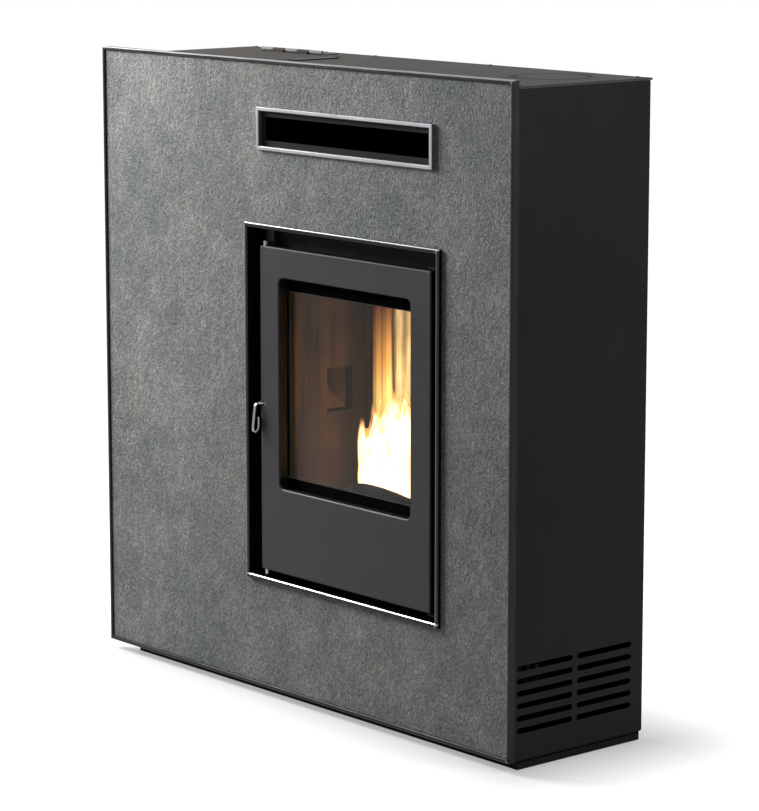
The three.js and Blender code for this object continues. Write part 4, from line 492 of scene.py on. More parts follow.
def show_mixed(tree, share, first, second):
    """Puts a mix of two shaders on the surface."""
    mixed = node(tree, "ShaderNodeMixShader", {"Fac": share, 1: first, 2: second})
    out = next((n for n in tree.nodes if n.type == "OUTPUT_MATERIAL"), None)
    out = out or node(tree, "ShaderNodeOutputMaterial")
    tree.links.new(mixed.outputs["Shader"], out.inputs["Surface"])


def flame_glow(name, strength):
    """Light that follows the glow and veil stored on each point: white heart, yellow, then orange veils."""
    material = bpy.data.materials.new(name)
    tree = emptied(material)
    heat = node(tree, "ShaderNodeAttribute", attribute_name="glow").outputs["Fac"]
    veil = node(tree, "ShaderNodeAttribute", attribute_name="veil").outputs["Fac"]
    licks = noise(tree, place(tree, scale=(75, 75, 8)), 1.0, 3, 0.6, 0.6)
    warmth = maths(tree, "ADD", heat, remap(tree, licks, 0.3, 0.7, -0.14, 0.14))
    colour = ramp(
        tree,
        warmth,
        (0.0, (0.6, 0.12, 0.02)),
        (0.3, (1.0, 0.33, 0.06)),
        (0.55, (1.0, 0.62, 0.2)),
        (0.8, (1.0, 0.88, 0.56)),
        (1.0, (1.0, 0.98, 0.9)),
    )
    power = maths(tree, "MULTIPLY", remap(tree, warmth, 0.1, 1.0, 0.5, 3.2), strength)
    glow = node(tree, "ShaderNodeEmission", {"Color": colour, "Strength": power})
    clear = node(tree, "ShaderNodeBsdfTransparent")
    streaks = remap(tree, licks, 0.3, 0.7, -1.0, 0.0)
    cover = maths(tree, "ADD", maths(tree, "MULTIPLY", veil, 2.0), streaks)
    held = remap(tree, cover, 0.0, 1.0)
    show_mixed(tree, held, clear.outputs["BSDF"], glow.outputs["Emission"])
    return material


def ember(name, glow):
    """Charring pellets: grey ash over black, with cracks that glow."""
    material, tree, shader = new_finish(name, 0.85, specular=0.2)
    flat = place(tree)
    cracks = cells(tree, flat, 300.0, "DISTANCE_TO_EDGE")
    ash = noise(tree, flat, 120.0, 4, 0.6)
    drive(
        tree,
        shader,
        base_color=ramp(tree, ash, (0.4, (0.02, 0.016, 0.013)), (0.65, (0.22, 0.19, 0.16))),
        emission_color=ramp(tree, ash, (0.35, glow), (0.6, (0.25, 0.02, 0.0))),
        emission_strength=remap(tree, cracks, 0.0, 0.16, 5.0, 0.5),
    )
    relief(tree, shader, ash, 0.0006)
    return material


# ---------------- flames


def lathe_rings(mesh, rings):
    """Closes a stack of rings into one skin, with a point at each end."""
    made = [[mesh.verts.new(p) for p in ring] for ring in rings]
    count = len(rings[0])
    for low, high in zip(made, made[1:]):
        for i in range(count):
            j = (i + 1) % count
            mesh.faces.new((low[i], low[j], high[j], high[i]))
    for ring, flip in ((made[0], True), (made[-1], False)):
        centre = mesh.verts.new(sum((v.co for v in ring), Vector()) / count)
        for i in range(count):
            j = (i + 1) % count
            mesh.faces.new((ring[j], ring[i], centre) if flip else (ring[i], ring[j], centre))


class Lick:
    """One tongue of flame: how far out it stands, its height, width and lean, and its kind."""

    def __init__(self, out, height, width, lean, kind, rng):
        self.out, self.height, self.width, self.lean, self.kind = Vector(out), height, width, lean, kind
        self.sway = [rng.uniform(0, ROUND) for _ in range(4)]

    def middle(self, rise):
        """Where the lick's middle is at a height above its foot. It spreads over its first 40 mm."""
        t = min(1.2, rise / self.height)
        spread = 0.35 + 0.65 * min(1.0, rise / (40 * MM))
        x = self.out.x * spread + self.lean * t * t + 5 * MM * math.sin(7 * t + self.sway[0]) * t
        y = self.out.y * spread + 4 * MM * math.sin(6 * t + self.sway[1]) * t
        return Vector((x, y))

    def distance(self, flat, rise):
        """How many widths a point is from the lick's middle, with more added for a point above its tip."""
        return (flat - self.middle(rise)).length / self.width + 3 * max(0, rise / self.height - 1)

    def rings(self, foot, wide, tall, sides=16, levels=22):
        """Rings of one skin of the lick, from its foot to its tip."""
        made = []
        for level in range(levels + 1):
            t = level / levels
            rise = self.height * tall * t
            belly = 0.75 + 0.25 * min(1.0, t * 5)
            taper = (1 - max(0.0, (t - 0.15) / 0.85) ** 1.6) ** 0.9
            radius = max(self.width * wide * belly * taper, 0.6 * MM)
            middle = self.middle(rise)
            ring = []
            for i in range(sides):
                angle = 2 * math.pi * i / sides
                swell = 1 + 0.10 * math.sin(3 * angle + self.sway[2] + 5 * t)
                swell += 0.07 * math.sin(5 * angle + self.sway[3] - 3 * t)
                flat = middle + Vector((math.cos(angle), math.sin(angle))) * radius * swell
                ring.append(foot + Vector((flat.x, flat.y, rise)))
            made.append(ring)
        return made


def flame_skin(foot, licks, wide, tall):
    """The licks of one skin, merged into one closed surface."""
    mesh = bmesh.new()
    for lick in licks:
        lathe_rings(mesh, lick.rings(foot, wide, tall))
    bmesh.ops.recalc_face_normals(mesh, faces=mesh.faces)
    host = put("skin", plain_mesh("skin", mesh))
    merge = host.modifiers.new("merge", "REMESH")
    merge.mode = "VOXEL"
    merge.voxel_size = 2.6 * MM
    return settled(host)


def fire_mesh(foot, licks, settings):
    """Skins of flame: haze, orange veil, yellow veil and white heart, with glow and veil on each point."""
    mesh = bmesh.new()
    glow = mesh.verts.layers.float.new("glow")
    veil = mesh.verts.layers.float.new("veil")
    hazes = [lick for lick in licks if lick.kind == "haze"]
    flames = [lick for lick in licks if lick.kind != "haze"]
    hearts = [lick for lick in licks if lick.kind == "heart"]
    skins = (
        (hazes, 1.0, 1.0, 0.5, 0.5),
        (flames, 1.0, 1.0, 0.54, 0.56),
        (flames, 1.0 - settings.fringe, 0.92, 0.9, 0.74),
        (hearts, 1.0 - 2 * settings.fringe, 0.8, 1.25, 1.2),
    )
    for members, wide, tall, warmth, cover in skins:
        start = len(mesh.verts)
        mesh.from_mesh(flame_skin(foot, members, wide, tall))
        mesh.verts.ensure_lookup_table()
        for vertex in mesh.verts[start:]:
            rise = vertex.co.z - foot.z
            flat = vertex.co.xy - foot.xy
            nearest = min(members, key=lambda lick: lick.distance(flat, rise))
            t = max(0.0, min(1.0, rise / (nearest.height * tall)))
            vertex[glow] = max(0.0, warmth + 0.1 - 0.32 * t)
            vertex[veil] = max(0.0, cover * (1 - 0.8 * t**4))
    data = plain_mesh("fire", mesh)
    for polygon in data.polygons:
        polygon.use_smooth = True
    return data


# ---------------- Geometry Nodes


def grown(tree, sources, settings, name):
    """Runs a Geometry Nodes tree on a small host mesh and gives back the plain result."""
    host = put(name + "_host", sources)
    modifier = host.modifiers.new("grow", "NODES")
    modifier.node_group = tree
    for item in tree.interface.items_tree:
        if item.item_type == "SOCKET" and item.in_out == "INPUT" and item.name in settings:
            modifier[item.identifier] = settings[item.name]
    result = settled(host)
    result.name = name
    return result


def geometry_tree(name, *inputs):
    """An empty Geometry Nodes tree with named inputs. Returns it with what it is given and its output."""
    tree = bpy.data.node_groups.new(name, "GeometryNodeTree")
    tree.interface.new_socket("Geometry", in_out="INPUT", socket_type="NodeSocketGeometry")
    for label, kind, default in inputs:
        socket = tree.interface.new_socket(label, in_out="INPUT", socket_type="NodeSocket" + kind)
        socket.default_value = default
    tree.interface.new_socket("Geometry", in_out="OUTPUT", socket_type="NodeSocketGeometry")
    return tree, node(tree, "NodeGroupInput").outputs, node(tree, "NodeGroupOutput")


def scatter(tree, out, points, shape, rotation, material):
    """Puts a shape on every point, then Realize Instances and Set Material, and ends the tree."""
    inputs = {"Points": points, "Instance": shape, "Rotation": rotation}
    placed = node(tree, "GeometryNodeInstanceOnPoints", inputs).outputs["Instances"]
    real = node(tree, "GeometryNodeRealizeInstances", {"Geometry": placed}).outputs["Geometry"]
    finish = node(tree, "GeometryNodeSetMaterial", {"Geometry": real, "Material": material})
    tree.links.new(finish.outputs["Geometry"], out.inputs["Geometry"])
    return tree


def random_turn(tree, seed, low, high):
    """A random rotation between two."""
    made = node(tree, "FunctionNodeRandomValue", {"Seed": seed}, data_type="FLOAT_VECTOR")
    made.inputs["Min"].default_value = low
    made.inputs["Max"].default_value = high
    return made.outputs["Value"]


def screw_tree(material):
    """Pan-head screws on every point of the host, each turned to the way that the point faces."""
    tree, given, out = geometry_tree(
        "screw_rows",
        ("Head radius", "Float", 0.0032),
        ("Head height", "Float", 0.0018),
        ("Recess radius", "Float", 0.0011),
        ("Seed", "Int", 7),
    )
    radius, height = given["Head radius"], given["Head height"]
    points = node(tree, "GeometryNodeMeshToPoints", {"Mesh": given["Geometry"]})
    inputs = {"Vertices": 14, "Radius Top": maths(tree, "MULTIPLY", radius, 0.72), "Radius Bottom": radius}
    head = node(tree, "GeometryNodeMeshCone", inputs | {"Depth": height})
    inputs = {"Vertices": 6, "Radius": given["Recess radius"], "Depth": maths(tree, "MULTIPLY", height, 1.2)}
    recess = node(tree, "GeometryNodeMeshCylinder", inputs)
    up = node(tree, "ShaderNodeCombineXYZ", {"Z": height}).outputs["Vector"]
    lifted = node(tree, "GeometryNodeTransform", {"Geometry": recess.outputs["Mesh"], "Translation": up})
    inputs = {"Mesh 1": head.outputs["Mesh"], "Mesh 2": lifted.outputs["Geometry"]}
    cut = node(tree, "GeometryNodeMeshBoolean", inputs, operation="DIFFERENCE")
    facing = node(tree, "GeometryNodeInputNamedAttribute", {"Name": "facing"}, data_type="FLOAT_VECTOR")
    inputs = {"Vector": facing.outputs["Attribute"]}
    aligned = node(tree, "FunctionNodeAlignRotationToVector", inputs, axis="Z")
    spin = random_turn(tree, given["Seed"], (0, 0, 0), (0, 0, 6.2))
    inputs = {"Rotation": aligned.outputs["Rotation"], "Rotate By": spin}
    twist = node(tree, "FunctionNodeRotateRotation", inputs, rotation_space="LOCAL").outputs["Rotation"]
    return scatter(tree, out, points.outputs["Points"], cut.outputs["Mesh"], twist, material)


def pellet_tree(material):
    """Wood pellets scattered over a mound and turned at random."""
    tree, given, out = geometry_tree(
        "pellet_bed",
        ("Pellet radius", "Float", 0.003),
        ("Pellet length", "Float", 0.017),
        ("Density", "Float", 20000.0),
        ("Seed", "Int", 4),
    )
    seed = given["Seed"]
    inputs = {"Mesh": given["Geometry"], "Density": given["Density"], "Seed": seed}
    spread = node(tree, "GeometryNodeDistributePointsOnFaces", inputs)
    inputs = {"Vertices": 8, "Radius": given["Pellet radius"], "Depth": given["Pellet length"]}
    pellet = node(tree, "GeometryNodeMeshCylinder", inputs)
    turn = random_turn(tree, seed, (1.1, -0.35, 0), (1.95, 0.35, ROUND))
    return scatter(tree, out, spread.outputs["Points"], pellet.outputs["Mesh"], turn, material)


def point_mesh(name, places, facing):
    """Loose points that each store the way they face."""
    data = bpy.data.meshes.new(name)
    data.from_pydata([Vector(p) for p in places], [], [])
    attribute = data.attributes.new("facing", "FLOAT_VECTOR", "POINT")
    attribute.data.foreach_set("vector", facing * len(places))
    return data


# ---------------- settings


def colour_setting(name, text, code):
    limits = {"subtype": "COLOR", "size": 3, "min": 0, "max": 1}
    return FloatVectorProperty(name=name, description=text, default=tone(code), **limits)


def number(name, text, default, least=0, **limits):
    return FloatProperty(name=name, description=text, default=default, min=least, **limits)


def length(name, text, default, least):
    return number(name, text, default, least, subtype="DISTANCE", unit="LENGTH")


class StoneSettings(bpy.types.PropertyGroup):
    dark: colour_setting("Dark", "Darkest cloud of the stoneware", "#636768")
    middle: colour_setting("Middle", "Main grey of the stoneware", "#767777")
    light: colour_setting("Light", "Palest cloud of the stoneware", "#878784")
    cool: colour_setting("Blue tint", "Tint of the cool patches", "#eef2f3")
    warm: colour_setting("Brown tint", "Tint of the warm patches", "#f4efe9")
    cloud_scale: number("Clouds", "Clouds of colour to a metre", 5.5, 1)
    grain_scale: number("Grain", "Speckles to a metre", 250.0, 50)
    relief_scale: number("Relief", "Lumps of the split face to a metre", 250.0, 20)
    relief_depth: length("Relief depth", "Height of the lumps", 0.005, 0)


class PaintSettings(bpy.types.PropertyGroup):
    casing: colour_setting("Casing", "Satin black of the casing", "#161719")
    plinth: colour_setting("Plinth", "Brown-black of the plinth", "#252120")
    top: colour_setting("Top", "Brown-black of the top, its lid and the flue blank", "#393633")
    door: colour_setting("Door", "Graphite of the fire door", "#333336")
    inside: colour_setting("Inside", "Stove black of the door's inner frame and the liner", "#191817")
    gloss: number("Roughness", "Roughness of the paint", 0.42, 0.05, max=1)


class MetalSettings(bpy.types.PropertyGroup):
    trim: colour_setting("Trim", "Dark anodised trim round the panel and the door opening", "#262627")
    # Colour of the painted highlights on the bevels of the panel's trim.
    edge: colour_setting("Panel bevels", "Rubbed bevels of the panel's trim", "#77797c")
    # Colour of the painted highlights on the bevels of the trim round the fire door.
    bevel: colour_setting("Door bevels", "Bare bevels of the trim round the fire door", "#8c8e91")
    satin: colour_setting("Satin", "Satin trim of the air slot", "#8f9194")
    leaf: colour_setting("Leaf", "Grey of the lid's hinge leaf", "#77797a")
    steel: colour_setting("Steel", "Polished latch rod and handle", "#8d8e91")
    zinc: colour_setting("Zinc", "Zinc-plated sheet inside the casing", "#8f9294")
    iron: colour_setting("Iron", "Cast iron of the firebox", "#2c2927")
    rust: colour_setting("Rust", "Heat stains on the cast iron", "#4a3a2e")


class FireSettings(bpy.types.PropertyGroup):
    strength: number("Strength", "Brightness of the flames", 1.3)
    height: length("Height", "Tallest lick of flame, low enough to lift out with the pot", 0.206, 0.05)
    fringe: number("Fringe", "Share of a lick's width between one skin and the next", 0.1, 0.02, max=0.3)
    seed: IntProperty(name="Seed", description="Sway of the licks", default=11)
    power: number("Firelight", "Light the fire throws on the linings", 3.3)
    colour: colour_setting("Firelight colour", "Colour of the light that the fire throws", "#ffdeaa")
    pellets: number("Pellets", "Pellets to a square metre of the bed", 26000.0)


class FixingSettings(bpy.types.PropertyGroup):
    radius: length("Head radius", "Radius of a screw's head", 0.0034, 0.001)
    height: length("Head height", "Height of a screw's head", 0.0012, 0.0005)


class StageSettings(bpy.types.PropertyGroup):
    floor: colour_setting("Floor", "Pale studio floor", "#969695")
    lift: number("Floor white", "How far the floor near the stove is lifted to white", 0.40, max=1)
    reach: length("Shadow's reach", "Where the floor is white again", 0.19, 0.01)
    key: number("Left softbox", "Power of the big softbox on the left", 101.0)
    top: number("Top softbox", "Power of the softbox above", 8.8)
    side: number("Right softbox", "Power of the softbox on the right", 22.0)
    room: number("Room light", "Even light from all round", 0.03)


# ---------------- operators


class Step:
    """What every step of the build shares."""

    def execute(self, context):
        self.build(context.scene)
        return {"FINISHED"}


class STOVE_OT_stone(Step, bpy.types.Operator):
    """Dress the stoneware front"""

    bl_idname = "stove.stone"
    bl_label = "Stoneware front"

    def build(self, scene):
        dress(stoneware(scene.stove_stone), "stone_slab")


class STOVE_OT_paint(Step, bpy.types.Operator):
    """Dress the painted casing, top and door"""

    bl_idname = "stove.paint"
    bl_label = "Casing, top and door"

    def build(self, scene):
        settings = scene.stove_paint
        casing = paint("casing_black", settings.casing, settings.gloss, 0.08)
        dress(casing, "side_cover_left", "side_cover_right", "rear_panel", "front_carrier")
        dress(casing, "door_hinge_upper", "door_hinge_lower", "flue_socket", "air_inlet")
        plinth = paint("plinth_black", settings.plinth, 0.6, 0.03)
        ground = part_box("side_cover_right")[0].z
        # Painted shadow: the plinth turns near black from 5 mm below the side covers' bottom edge upwards,
        # for the shadow gap under them.
        paint_light_along(plinth, "Z", ground - 5 * MM, ground - 3.5 * MM, grey(0.001))
        dress(plinth, "base_tray")
        low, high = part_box("flue_knockout")
        top = paint("top_brown", settings.top, 0.5, 0.02)
        # Painted shade: a black ring for the shaded edge of the flue blank's step and a black dot for the
        # shaded hole in its middle.
        paint_ring_shade(top, (low + high) / 2, (high.x - low.x) / 2, 5.5 * MM, grey(0.002))
        paint_ring_shade(top, (low + high) / 2, 0.0, 4.5 * MM, grey(0.002))
        # Painted sheen: everything on the top, lid and flue blank more than 0.6 mm below the blank's top face
        # turns a paler bluish grey, so the top cover's side edges look lit.
        paint_light_along(top, "Z", high.z - 0.3 * MM, high.z - 0.6 * MM, tone("#4c4d50"))
        dress(top, "top_cover", "flue_knockout", "hopper_lid")
        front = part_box("door_plate")[0].y
        door = paint("door_graphite", settings.door, 0.46, 0.14, 0.00006, 0.1, 1300.0)
        # Painted shade: the door plate turns near black deeper than 1.5 to 3 mm behind its front, so the
        # window's reveal stays dark in the firelight.
        dress(paint_light_along(door, "Y", front + 1.5 * MM, front + 3 * MM, grey(0.003)), "door_plate")
        inside = paint("inside_black", settings.inside, 0.6, 0.06)
        dress(inside, "door_inner_frame", "glass_retainer", "outlet_frame")
        dress(paint("duct_black", tone("#0e0e10"), 0.7, 0.02), "air_duct", "blower_housing", "blower_runner")


class STOVE_OT_metal(Step, bpy.types.Operator):
    """Dress the trims, the latch, the hinge leaf and the zinc-plated sheet"""

    bl_idname = "stove.metal"
    bl_label = "Trims and bare metal"

    def build(self, scene):
        settings = scene.stove_metal
        names = ("edge_trim", "opening_trim")
        edge, opening = (brushed(name, settings.trim, 0.32, "z", 0.000008, 0.08) for name in names)
        # Painted highlights on both trims' bevels, and painted shade in near black on the inner bottom bevel
        # of the panel's trim.
        paint_bevel_highlights(edge, "perimeter_trim", 6 * MM, 1.3 * MM, settings.edge, sill_shade=tone("#0a0a0b"))
        dress(edge, "perimeter_trim")
        paint_bevel_highlights(opening, "door_opening_trim", 7 * MM, 1.5 * MM, settings.bevel)
        dress(opening, "door_opening_trim")
        dress(brushed("satin_trim", settings.satin, 0.36), "outlet_trim")
        dress(paint("leaf_grey", settings.leaf, 0.6, 0.05), "lid_hinge_leaf")
        steel = brushed("polished_steel", settings.steel, 0.12, "z", 0.000006, 0.04)
        dress(steel, "latch_rod", "latch_handle")
        zinc = brushed("zinc_sheet", settings.zinc, 0.42, "x", 0.00001, 0.1)
        dress(zinc, "hopper_bin", "hopper_grid", "auger_screw", "smoke_fan_impeller", "igniter")
        dress(zinc, "firebox_stand_left", "firebox_stand_right")
        feet = [f"levelling_foot_{end}_{side}" for end in ("front", "rear") for side in ("left", "right")]
        dress(zinc, *feet)
        dress(brushed("hose_foil", tone("#48494a"), 0.5, "x", 0.00001, 0.1), "air_hose")
        # Partly painted light: the auger tube is soot-stained steel, painted a paler, warmer brown than soot
        # so that in the little light inside it matches the firelit lining beside the chute's hole.
        dress(cast("sooted_steel", tone("#624f42"), 0.8, tone("#6b5646")), "auger_tube")
        motor = paint("motor_black", tone("#232425"), 0.5, 0.35)
        dress(motor, "auger_gearmotor", "blower_motor", "smoke_fan_motor", "smoke_fan_housing")
        dress(paint("pan_grey", tone("#4c4b49"), 0.6, 0.2), "ash_pan")


class STOVE_OT_firebox(Step, bpy.types.Operator):
    """Dress the firebox, its linings, the glass and the seals"""

    bl_idname = "stove.firebox"
    bl_label = "Firebox, glass and seals"

    def build(self, scene):
        settings = scene.stove_metal
        iron = cast("cast_iron", settings.iron, 0.75, settings.rust)
        dress(iron, "hearth_plate", "burn_pot", "fire_guard")
        dress(cast("shell_steel", tone("#17191b"), 0.8, tone("#1c1c1d")), "firebox_shell")

        low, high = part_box("burn_pot")
        clean_from = (low.x + high.x) / 2 - 125 * MM
        board = [tone(code) for code in ("#d3c5a5", "#ab9b7e", "#1d1815")]
        # Painted firelight on the back panel, pale cream low down and browner higher up.
        painted_glow_tones = [tone(code) for code in ("#eed394", "#c99d5e", "#6e4a30")]
        clean = refractory("vermiculite", *board, painted_glow_tones, clean_from)
        dress(clean, "firebox_back_panel", "firebox_lining_right")

        board = [tone(code) for code in ("#3d2e28", "#241d1b", "#15110f")]
        sooted = refractory("vermiculite_sooted", *board)
        front, rear = (corner.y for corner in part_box("firebox_lining_left"))
        # Painted shade: the left lining's front 13 mm turns bluish near black.
        paint_light_along(sooted, "Y", front + 15 * MM, front + 13 * MM, tone("#12171c"))
        # Painted shade: the left lining darkens towards its back end, fully over the last 15 mm, into the
        # corner with the back panel.
        paint_light_along(sooted, "Y", rear - 60 * MM, rear - 15 * MM, tone("#1c1715"))
        dress(sooted, "firebox_lining_left", "baffle_plate")

        low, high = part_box("door_glass")
        dress(fire_glass("ceramic_glass", tone("#e9e0d4"), high.z - 34 * MM, low.z + 28 * MM), "door_glass")
        dress(rope("seal_rope", tone("#3a3836")), "door_rope_seal", "glass_gasket")
        dress(plastic("seal_rubber", tone("#1c1c1c"), 0.8, 0.00008), "lid_gasket")


class STOVE_OT_electrics(Step, bpy.types.Operator):
    """Dress the control board, the inlet, the switch and the touch strip"""

    bl_idname = "stove.electrics"
    bl_label = "Electrics"

    def build(self, scene):
        dress(circuit("circuit_board", tone("#1d5236"), tone("#4b7a3a")), "control_board")
        dress(plastic("moulded_black", tone("#191a1b"), 0.48, 0.00004), "power_inlet", "power_switch")
        dress(plastic("touch_strip", tone("#101113"), 0.3, 0.000003, 0.02), "control_display")


class STOVE_OT_fire(Step, bpy.types.Operator):
    """Light the fire: flames, glowing pellets and the light that they throw"""

    bl_idname = "stove.fire"
    bl_label = "Fire and pellets"

    def build(self, scene):
        settings = scene.stove_fire
        low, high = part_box("burn_pot")
        middle = (low + high) / 2
        foot = Vector((middle.x, middle.y, high.z - 16 * MM))
        rng = random.Random(settings.seed)
        licks = [
            Lick(out, share * settings.height, width, lean, kind, rng)
            for out, share, width, lean, kind in LICKS
        ]
        flames = fire_mesh(foot, licks, settings)
        fire = finish_piece("flames", flames, flame_glow("flame", settings.strength), "pot")
        fire.visible_shadow = False
        lamp = bpy.data.lights.new("firelight", "POINT")
        lamp.energy = settings.power
        lamp.color = settings.colour
        lamp.shadow_soft_size = 45 * MM
        holder = put("firelight", lamp)
        holder.visible_camera = holder.visible_glossy = holder.visible_transmission = False
        holder.location = (middle.x + 10 * MM, middle.y - 20 * MM, high.z + 140 * MM)

        glow = ember("embers", tone("#ff7a1e"))
        numbers = {"Density": settings.pellets, "Seed": settings.seed}
        pellets = grown(pellet_tree(glow), self.mound(low, high), numbers, "pellets")
        finish_piece("pellets", pellets, glow, "pot")

    @staticmethod
    def mound(low, high):
        """The heap that the pellets lie on: 20 mm in from the pot's outside and highest in the middle."""
        middle = (low + high) / 2
        half = (high - low) / 2 - Vector.Fill(3, 20 * MM)
        mound = bmesh.new()
        bmesh.ops.create_grid(mound, x_segments=12, y_segments=10, size=0.5)
        for vertex in mound.verts:
            x, y = vertex.co.x * 2, vertex.co.y * 2
            rise = 12 * MM * (1 - 0.5 * (x * x + y * y))
            vertex.co = (middle.x + x * half.x, middle.y + y * half.y, high.z - 26 * MM + rise)
        return plain_mesh("bed", mound)


class STOVE_OT_fixings(Step, bpy.types.Operator):
    """Screw the top, the hinge leaf and the back on, and seal the plinth's front edge"""

    bl_idname = "stove.fixings"
    bl_label = "Screws and foam strip"

    def build(self, scene):
        settings = scene.stove_fixings
        black = paint("screw_black", tone("#1d1e1f"), 0.35, 0.5)
        bright = brushed("screw_zinc", scene.stove_metal.zinc, 0.3)
        sizes = {"Head radius": settings.radius, "Head height": settings.height}
        seat = settings.height / 2

        low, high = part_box("top_cover")
        corner = 20 * MM
        left, right = low.x + corner, high.x - corner
        rear_row = (left, -120 * MM, 160 * MM, right)
        top = [(x, high.y - 12 * MM, high.z + seat) for x in rear_row]
        top += [(x, low.y + corner, high.z + seat) for x in (right, left)]
        self.screw("top_screws", top, (0, 0, 1), black, sizes)

        leaf_low, leaf_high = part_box("lid_hinge_leaf")
        step = (leaf_high.x - leaf_low.x) / 4
        y, z = leaf_high.y - 10 * MM, high.z + 1.9 * MM + seat
        leaf = [(leaf_low.x + step * (i + 0.5), y, z) for i in range(4)]
        self.screw("leaf_screws", leaf, (0, 0, 1), black, sizes)

        low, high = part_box("rear_panel")
        rim, y = 10 * MM, high.y + seat
        low, high = low + Vector.Fill(3, rim), high - Vector.Fill(3, rim)
        back = []
        for i in range(9):
            x = low.x + (high.x - low.x) * i / 8
            back += [(x, y, low.z), (x, y, high.z)]
        for i in range(1, 9):
            z = low.z + (high.z - low.z) * i / 9
            back += [(low.x, y, z), (high.x, y, z)]
        self.screw("back_screws", back, (0, 1, 0), bright, sizes)
        self.foam_strip()

    @staticmethod
    def screw(name, places, facing, material, sizes):
        """Sets one row of screws."""
        made = grown(screw_tree(material), point_mesh(name, places, facing), sizes, name)
        finish_piece(name, made, material, "stove_body")

    @staticmethod
    def foam_strip():
        """Foam between the plinth's front edge and the sheet behind the stoneware, to keep light out."""
        tray_low, tray_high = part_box("base_tray")
        sheet_low, sheet_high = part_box("front_carrier")
        play = 0.1 * MM
        low = Vector((sheet_low.x, sheet_low.y, tray_high.z + play))
        high = Vector((sheet_high.x, tray_low.y + 2 * MM, sheet_low.z - play))
        strip = bmesh.new()
        bmesh.ops.create_cube(strip, size=1)
        for vertex in strip.verts:
            vertex.co = Vector(high[i] if vertex.co[i] > 0 else low[i] for i in range(3))
        bmesh.ops.bevel(strip, geom=strip.edges[:], offset=0.5 * MM, segments=2, affect="EDGES")
        foam = plastic("foam", tone("#161616"), 0.9, 0.0002)
        finish_piece("foam_strip", plain_mesh("foam_strip", strip), foam, "stove_body")


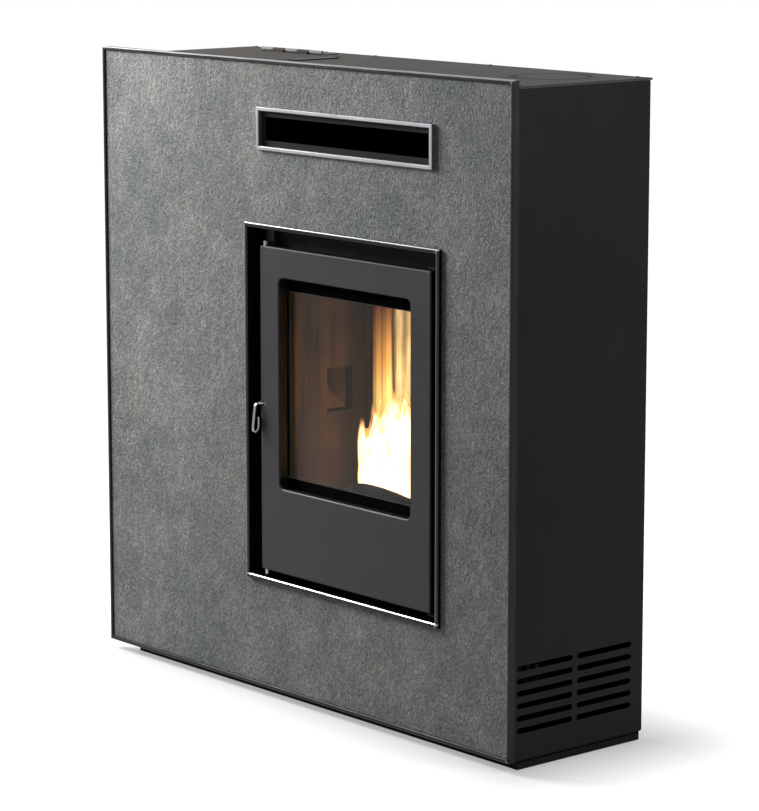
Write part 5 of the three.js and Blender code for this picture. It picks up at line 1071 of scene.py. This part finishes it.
class STOVE_OT_stage(Step, bpy.types.Operator):
    """Set up the floor, the soft lights, the pale room and the camera"""

    bl_idname = "stove.stage"
    bl_label = "Studio"

    def build(self, scene):
        settings = scene.stove_stage
        self.floor(settings)
        self.room(settings)
        for name, power, where, target, size in SOFTBOXES:
            self.softbox(name, where, target, size, getattr(settings, power))
        camera = bpy.data.cameras.new("camera")
        camera.lens = CAMERA_LENS
        camera.sensor_width = CAMERA_SENSOR
        camera.clip_end = 60
        holder = put("camera", camera)
        holder.location = CAMERA_PLACE
        turn = Matrix.Rotation(math.radians(CAMERA_YAW), 4, "Z")
        tilt = Matrix.Rotation(math.radians(CAMERA_TILT), 4, "X")
        holder.rotation_euler = (turn @ tilt).to_euler()
        scene.camera = holder
        scene.view_settings.view_transform = "Standard"

    @staticmethod
    def seen_rays(tree):
        """1 for rays that see the background: camera, glossy and transmission."""
        path = node(tree, "ShaderNodeLightPath").outputs
        first = maths(tree, "MAXIMUM", path["Is Camera Ray"], path["Is Glossy Ray"])
        return maths(tree, "MAXIMUM", first, path["Is Transmission Ray"])

    def floor(self, settings):
        """A wide pale floor that keeps the stove's shadow round its foot and is white beyond. Its white glow
        is weaker near the foot, which adds painted shade there on top of the real shadow.
        """
        mesh = bmesh.new()
        bmesh.ops.create_circle(mesh, cap_ends=True, segments=64, radius=14)
        material, tree, shader = new_finish("studio_floor", 0.7, specular=0.2, Emission_Color=(1, 1, 1, 1))
        clouds = noise(tree, place(tree), 1.4, 2, 0.5)
        low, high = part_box("base_tray")
        middle, half = (low + high) / 2, (high - low) / 2
        parts = axes(tree, place(tree, move=(-middle.x, -middle.y, 0)))
        past = {}
        for i, axis in enumerate("XY"):
            beyond = maths(tree, "SUBTRACT", maths(tree, "ABSOLUTE", parts[axis]), half[i])
            past[axis] = maths(tree, "MAXIMUM", beyond, 0.0)
        outward = node(tree, "ShaderNodeCombineXYZ", past).outputs["Vector"]
        away = node(tree, "ShaderNodeVectorMath", {0: outward}, operation="LENGTH").outputs["Value"]
        # Painted shade: the floor's glow rises from the lift at the stove's foot to 0.97 at the reach, so the
        # shadow darkens towards the foot.
        lift = remap(tree, away, 0.0, settings.reach, settings.lift, 0.97)
        glow = maths(tree, "MULTIPLY", self.seen_rays(tree), lift)
        pale = ramp(tree, clouds, (0.3, *shade(settings.floor, 0.98)), (0.7, settings.floor))
        drive(tree, shader, base_color=pale, emission_strength=glow)
        data = plain_mesh("floor", mesh)
        data.materials.append(material)
        put("floor", data)

    def room(self, settings):
        """White where it is seen, and a plain soft light everywhere else."""
        world = bpy.data.worlds.new("room")
        bpy.context.scene.world = world
        tree = emptied(world)
        power = remap(tree, self.seen_rays(tree), 0, 1, settings.room, 1.0)
        light = node(tree, "ShaderNodeBackground", {"Color": (1, 1, 1, 1), "Strength": power})
        node(tree, "ShaderNodeOutputWorld", {"Surface": light.outputs["Background"]})

    @staticmethod
    def softbox(name, where, target, size, power):
        """A soft light of a size in metres that points at a target."""
        lamp = bpy.data.lights.new(name, "AREA")
        lamp.shape = "RECTANGLE"
        lamp.size, lamp.size_y = size
        lamp.energy = power
        holder = put(name, lamp)
        holder.location = where
        aim = Vector(target) - Vector(where)
        holder.rotation_euler = aim.to_track_quat("-Z", "Y").to_euler()


OPERATORS = (
    STOVE_OT_stage,
    STOVE_OT_stone,
    STOVE_OT_paint,
    STOVE_OT_metal,
    STOVE_OT_firebox,
    STOVE_OT_electrics,
    STOVE_OT_fire,
    STOVE_OT_fixings,
)
SETTINGS = {
    "stove_stone": StoneSettings,
    "stove_paint": PaintSettings,
    "stove_metal": MetalSettings,
    "stove_fire": FireSettings,
    "stove_fixings": FixingSettings,
    "stove_stage": StageSettings,
}


class STOVE_PT_panel(bpy.types.Panel):
    """Lists the stove's steps and settings"""

    bl_idname = "STOVE_PT_panel"
    bl_label = "Pellet stove"
    bl_space_type = "VIEW_3D"
    bl_region_type = "UI"
    bl_category = "Pellet stove"

    def draw(self, context):
        for operator in OPERATORS:
            self.layout.operator(operator.bl_idname)
        for name, group in SETTINGS.items():
            box = self.layout.box()
            for key in group.__annotations__:
                box.prop(getattr(context.scene, name), key)


def register():
    for group in SETTINGS.values():
        bpy.utils.register_class(group)
    for operator in (*OPERATORS, STOVE_PT_panel):
        bpy.utils.register_class(operator)
    for name, group in SETTINGS.items():
        setattr(bpy.types.Scene, name, PointerProperty(type=group))


def unregister():
    for name in SETTINGS:
        delattr(bpy.types.Scene, name)
    for made in (STOVE_PT_panel, *reversed(OPERATORS), *reversed(SETTINGS.values())):
        bpy.utils.unregister_class(made)


def main():
    register()
    for operator in OPERATORS:
        getattr(bpy.ops.stove, operator.bl_idname.split(".")[1])()


if __name__ == "__main__":
    main()
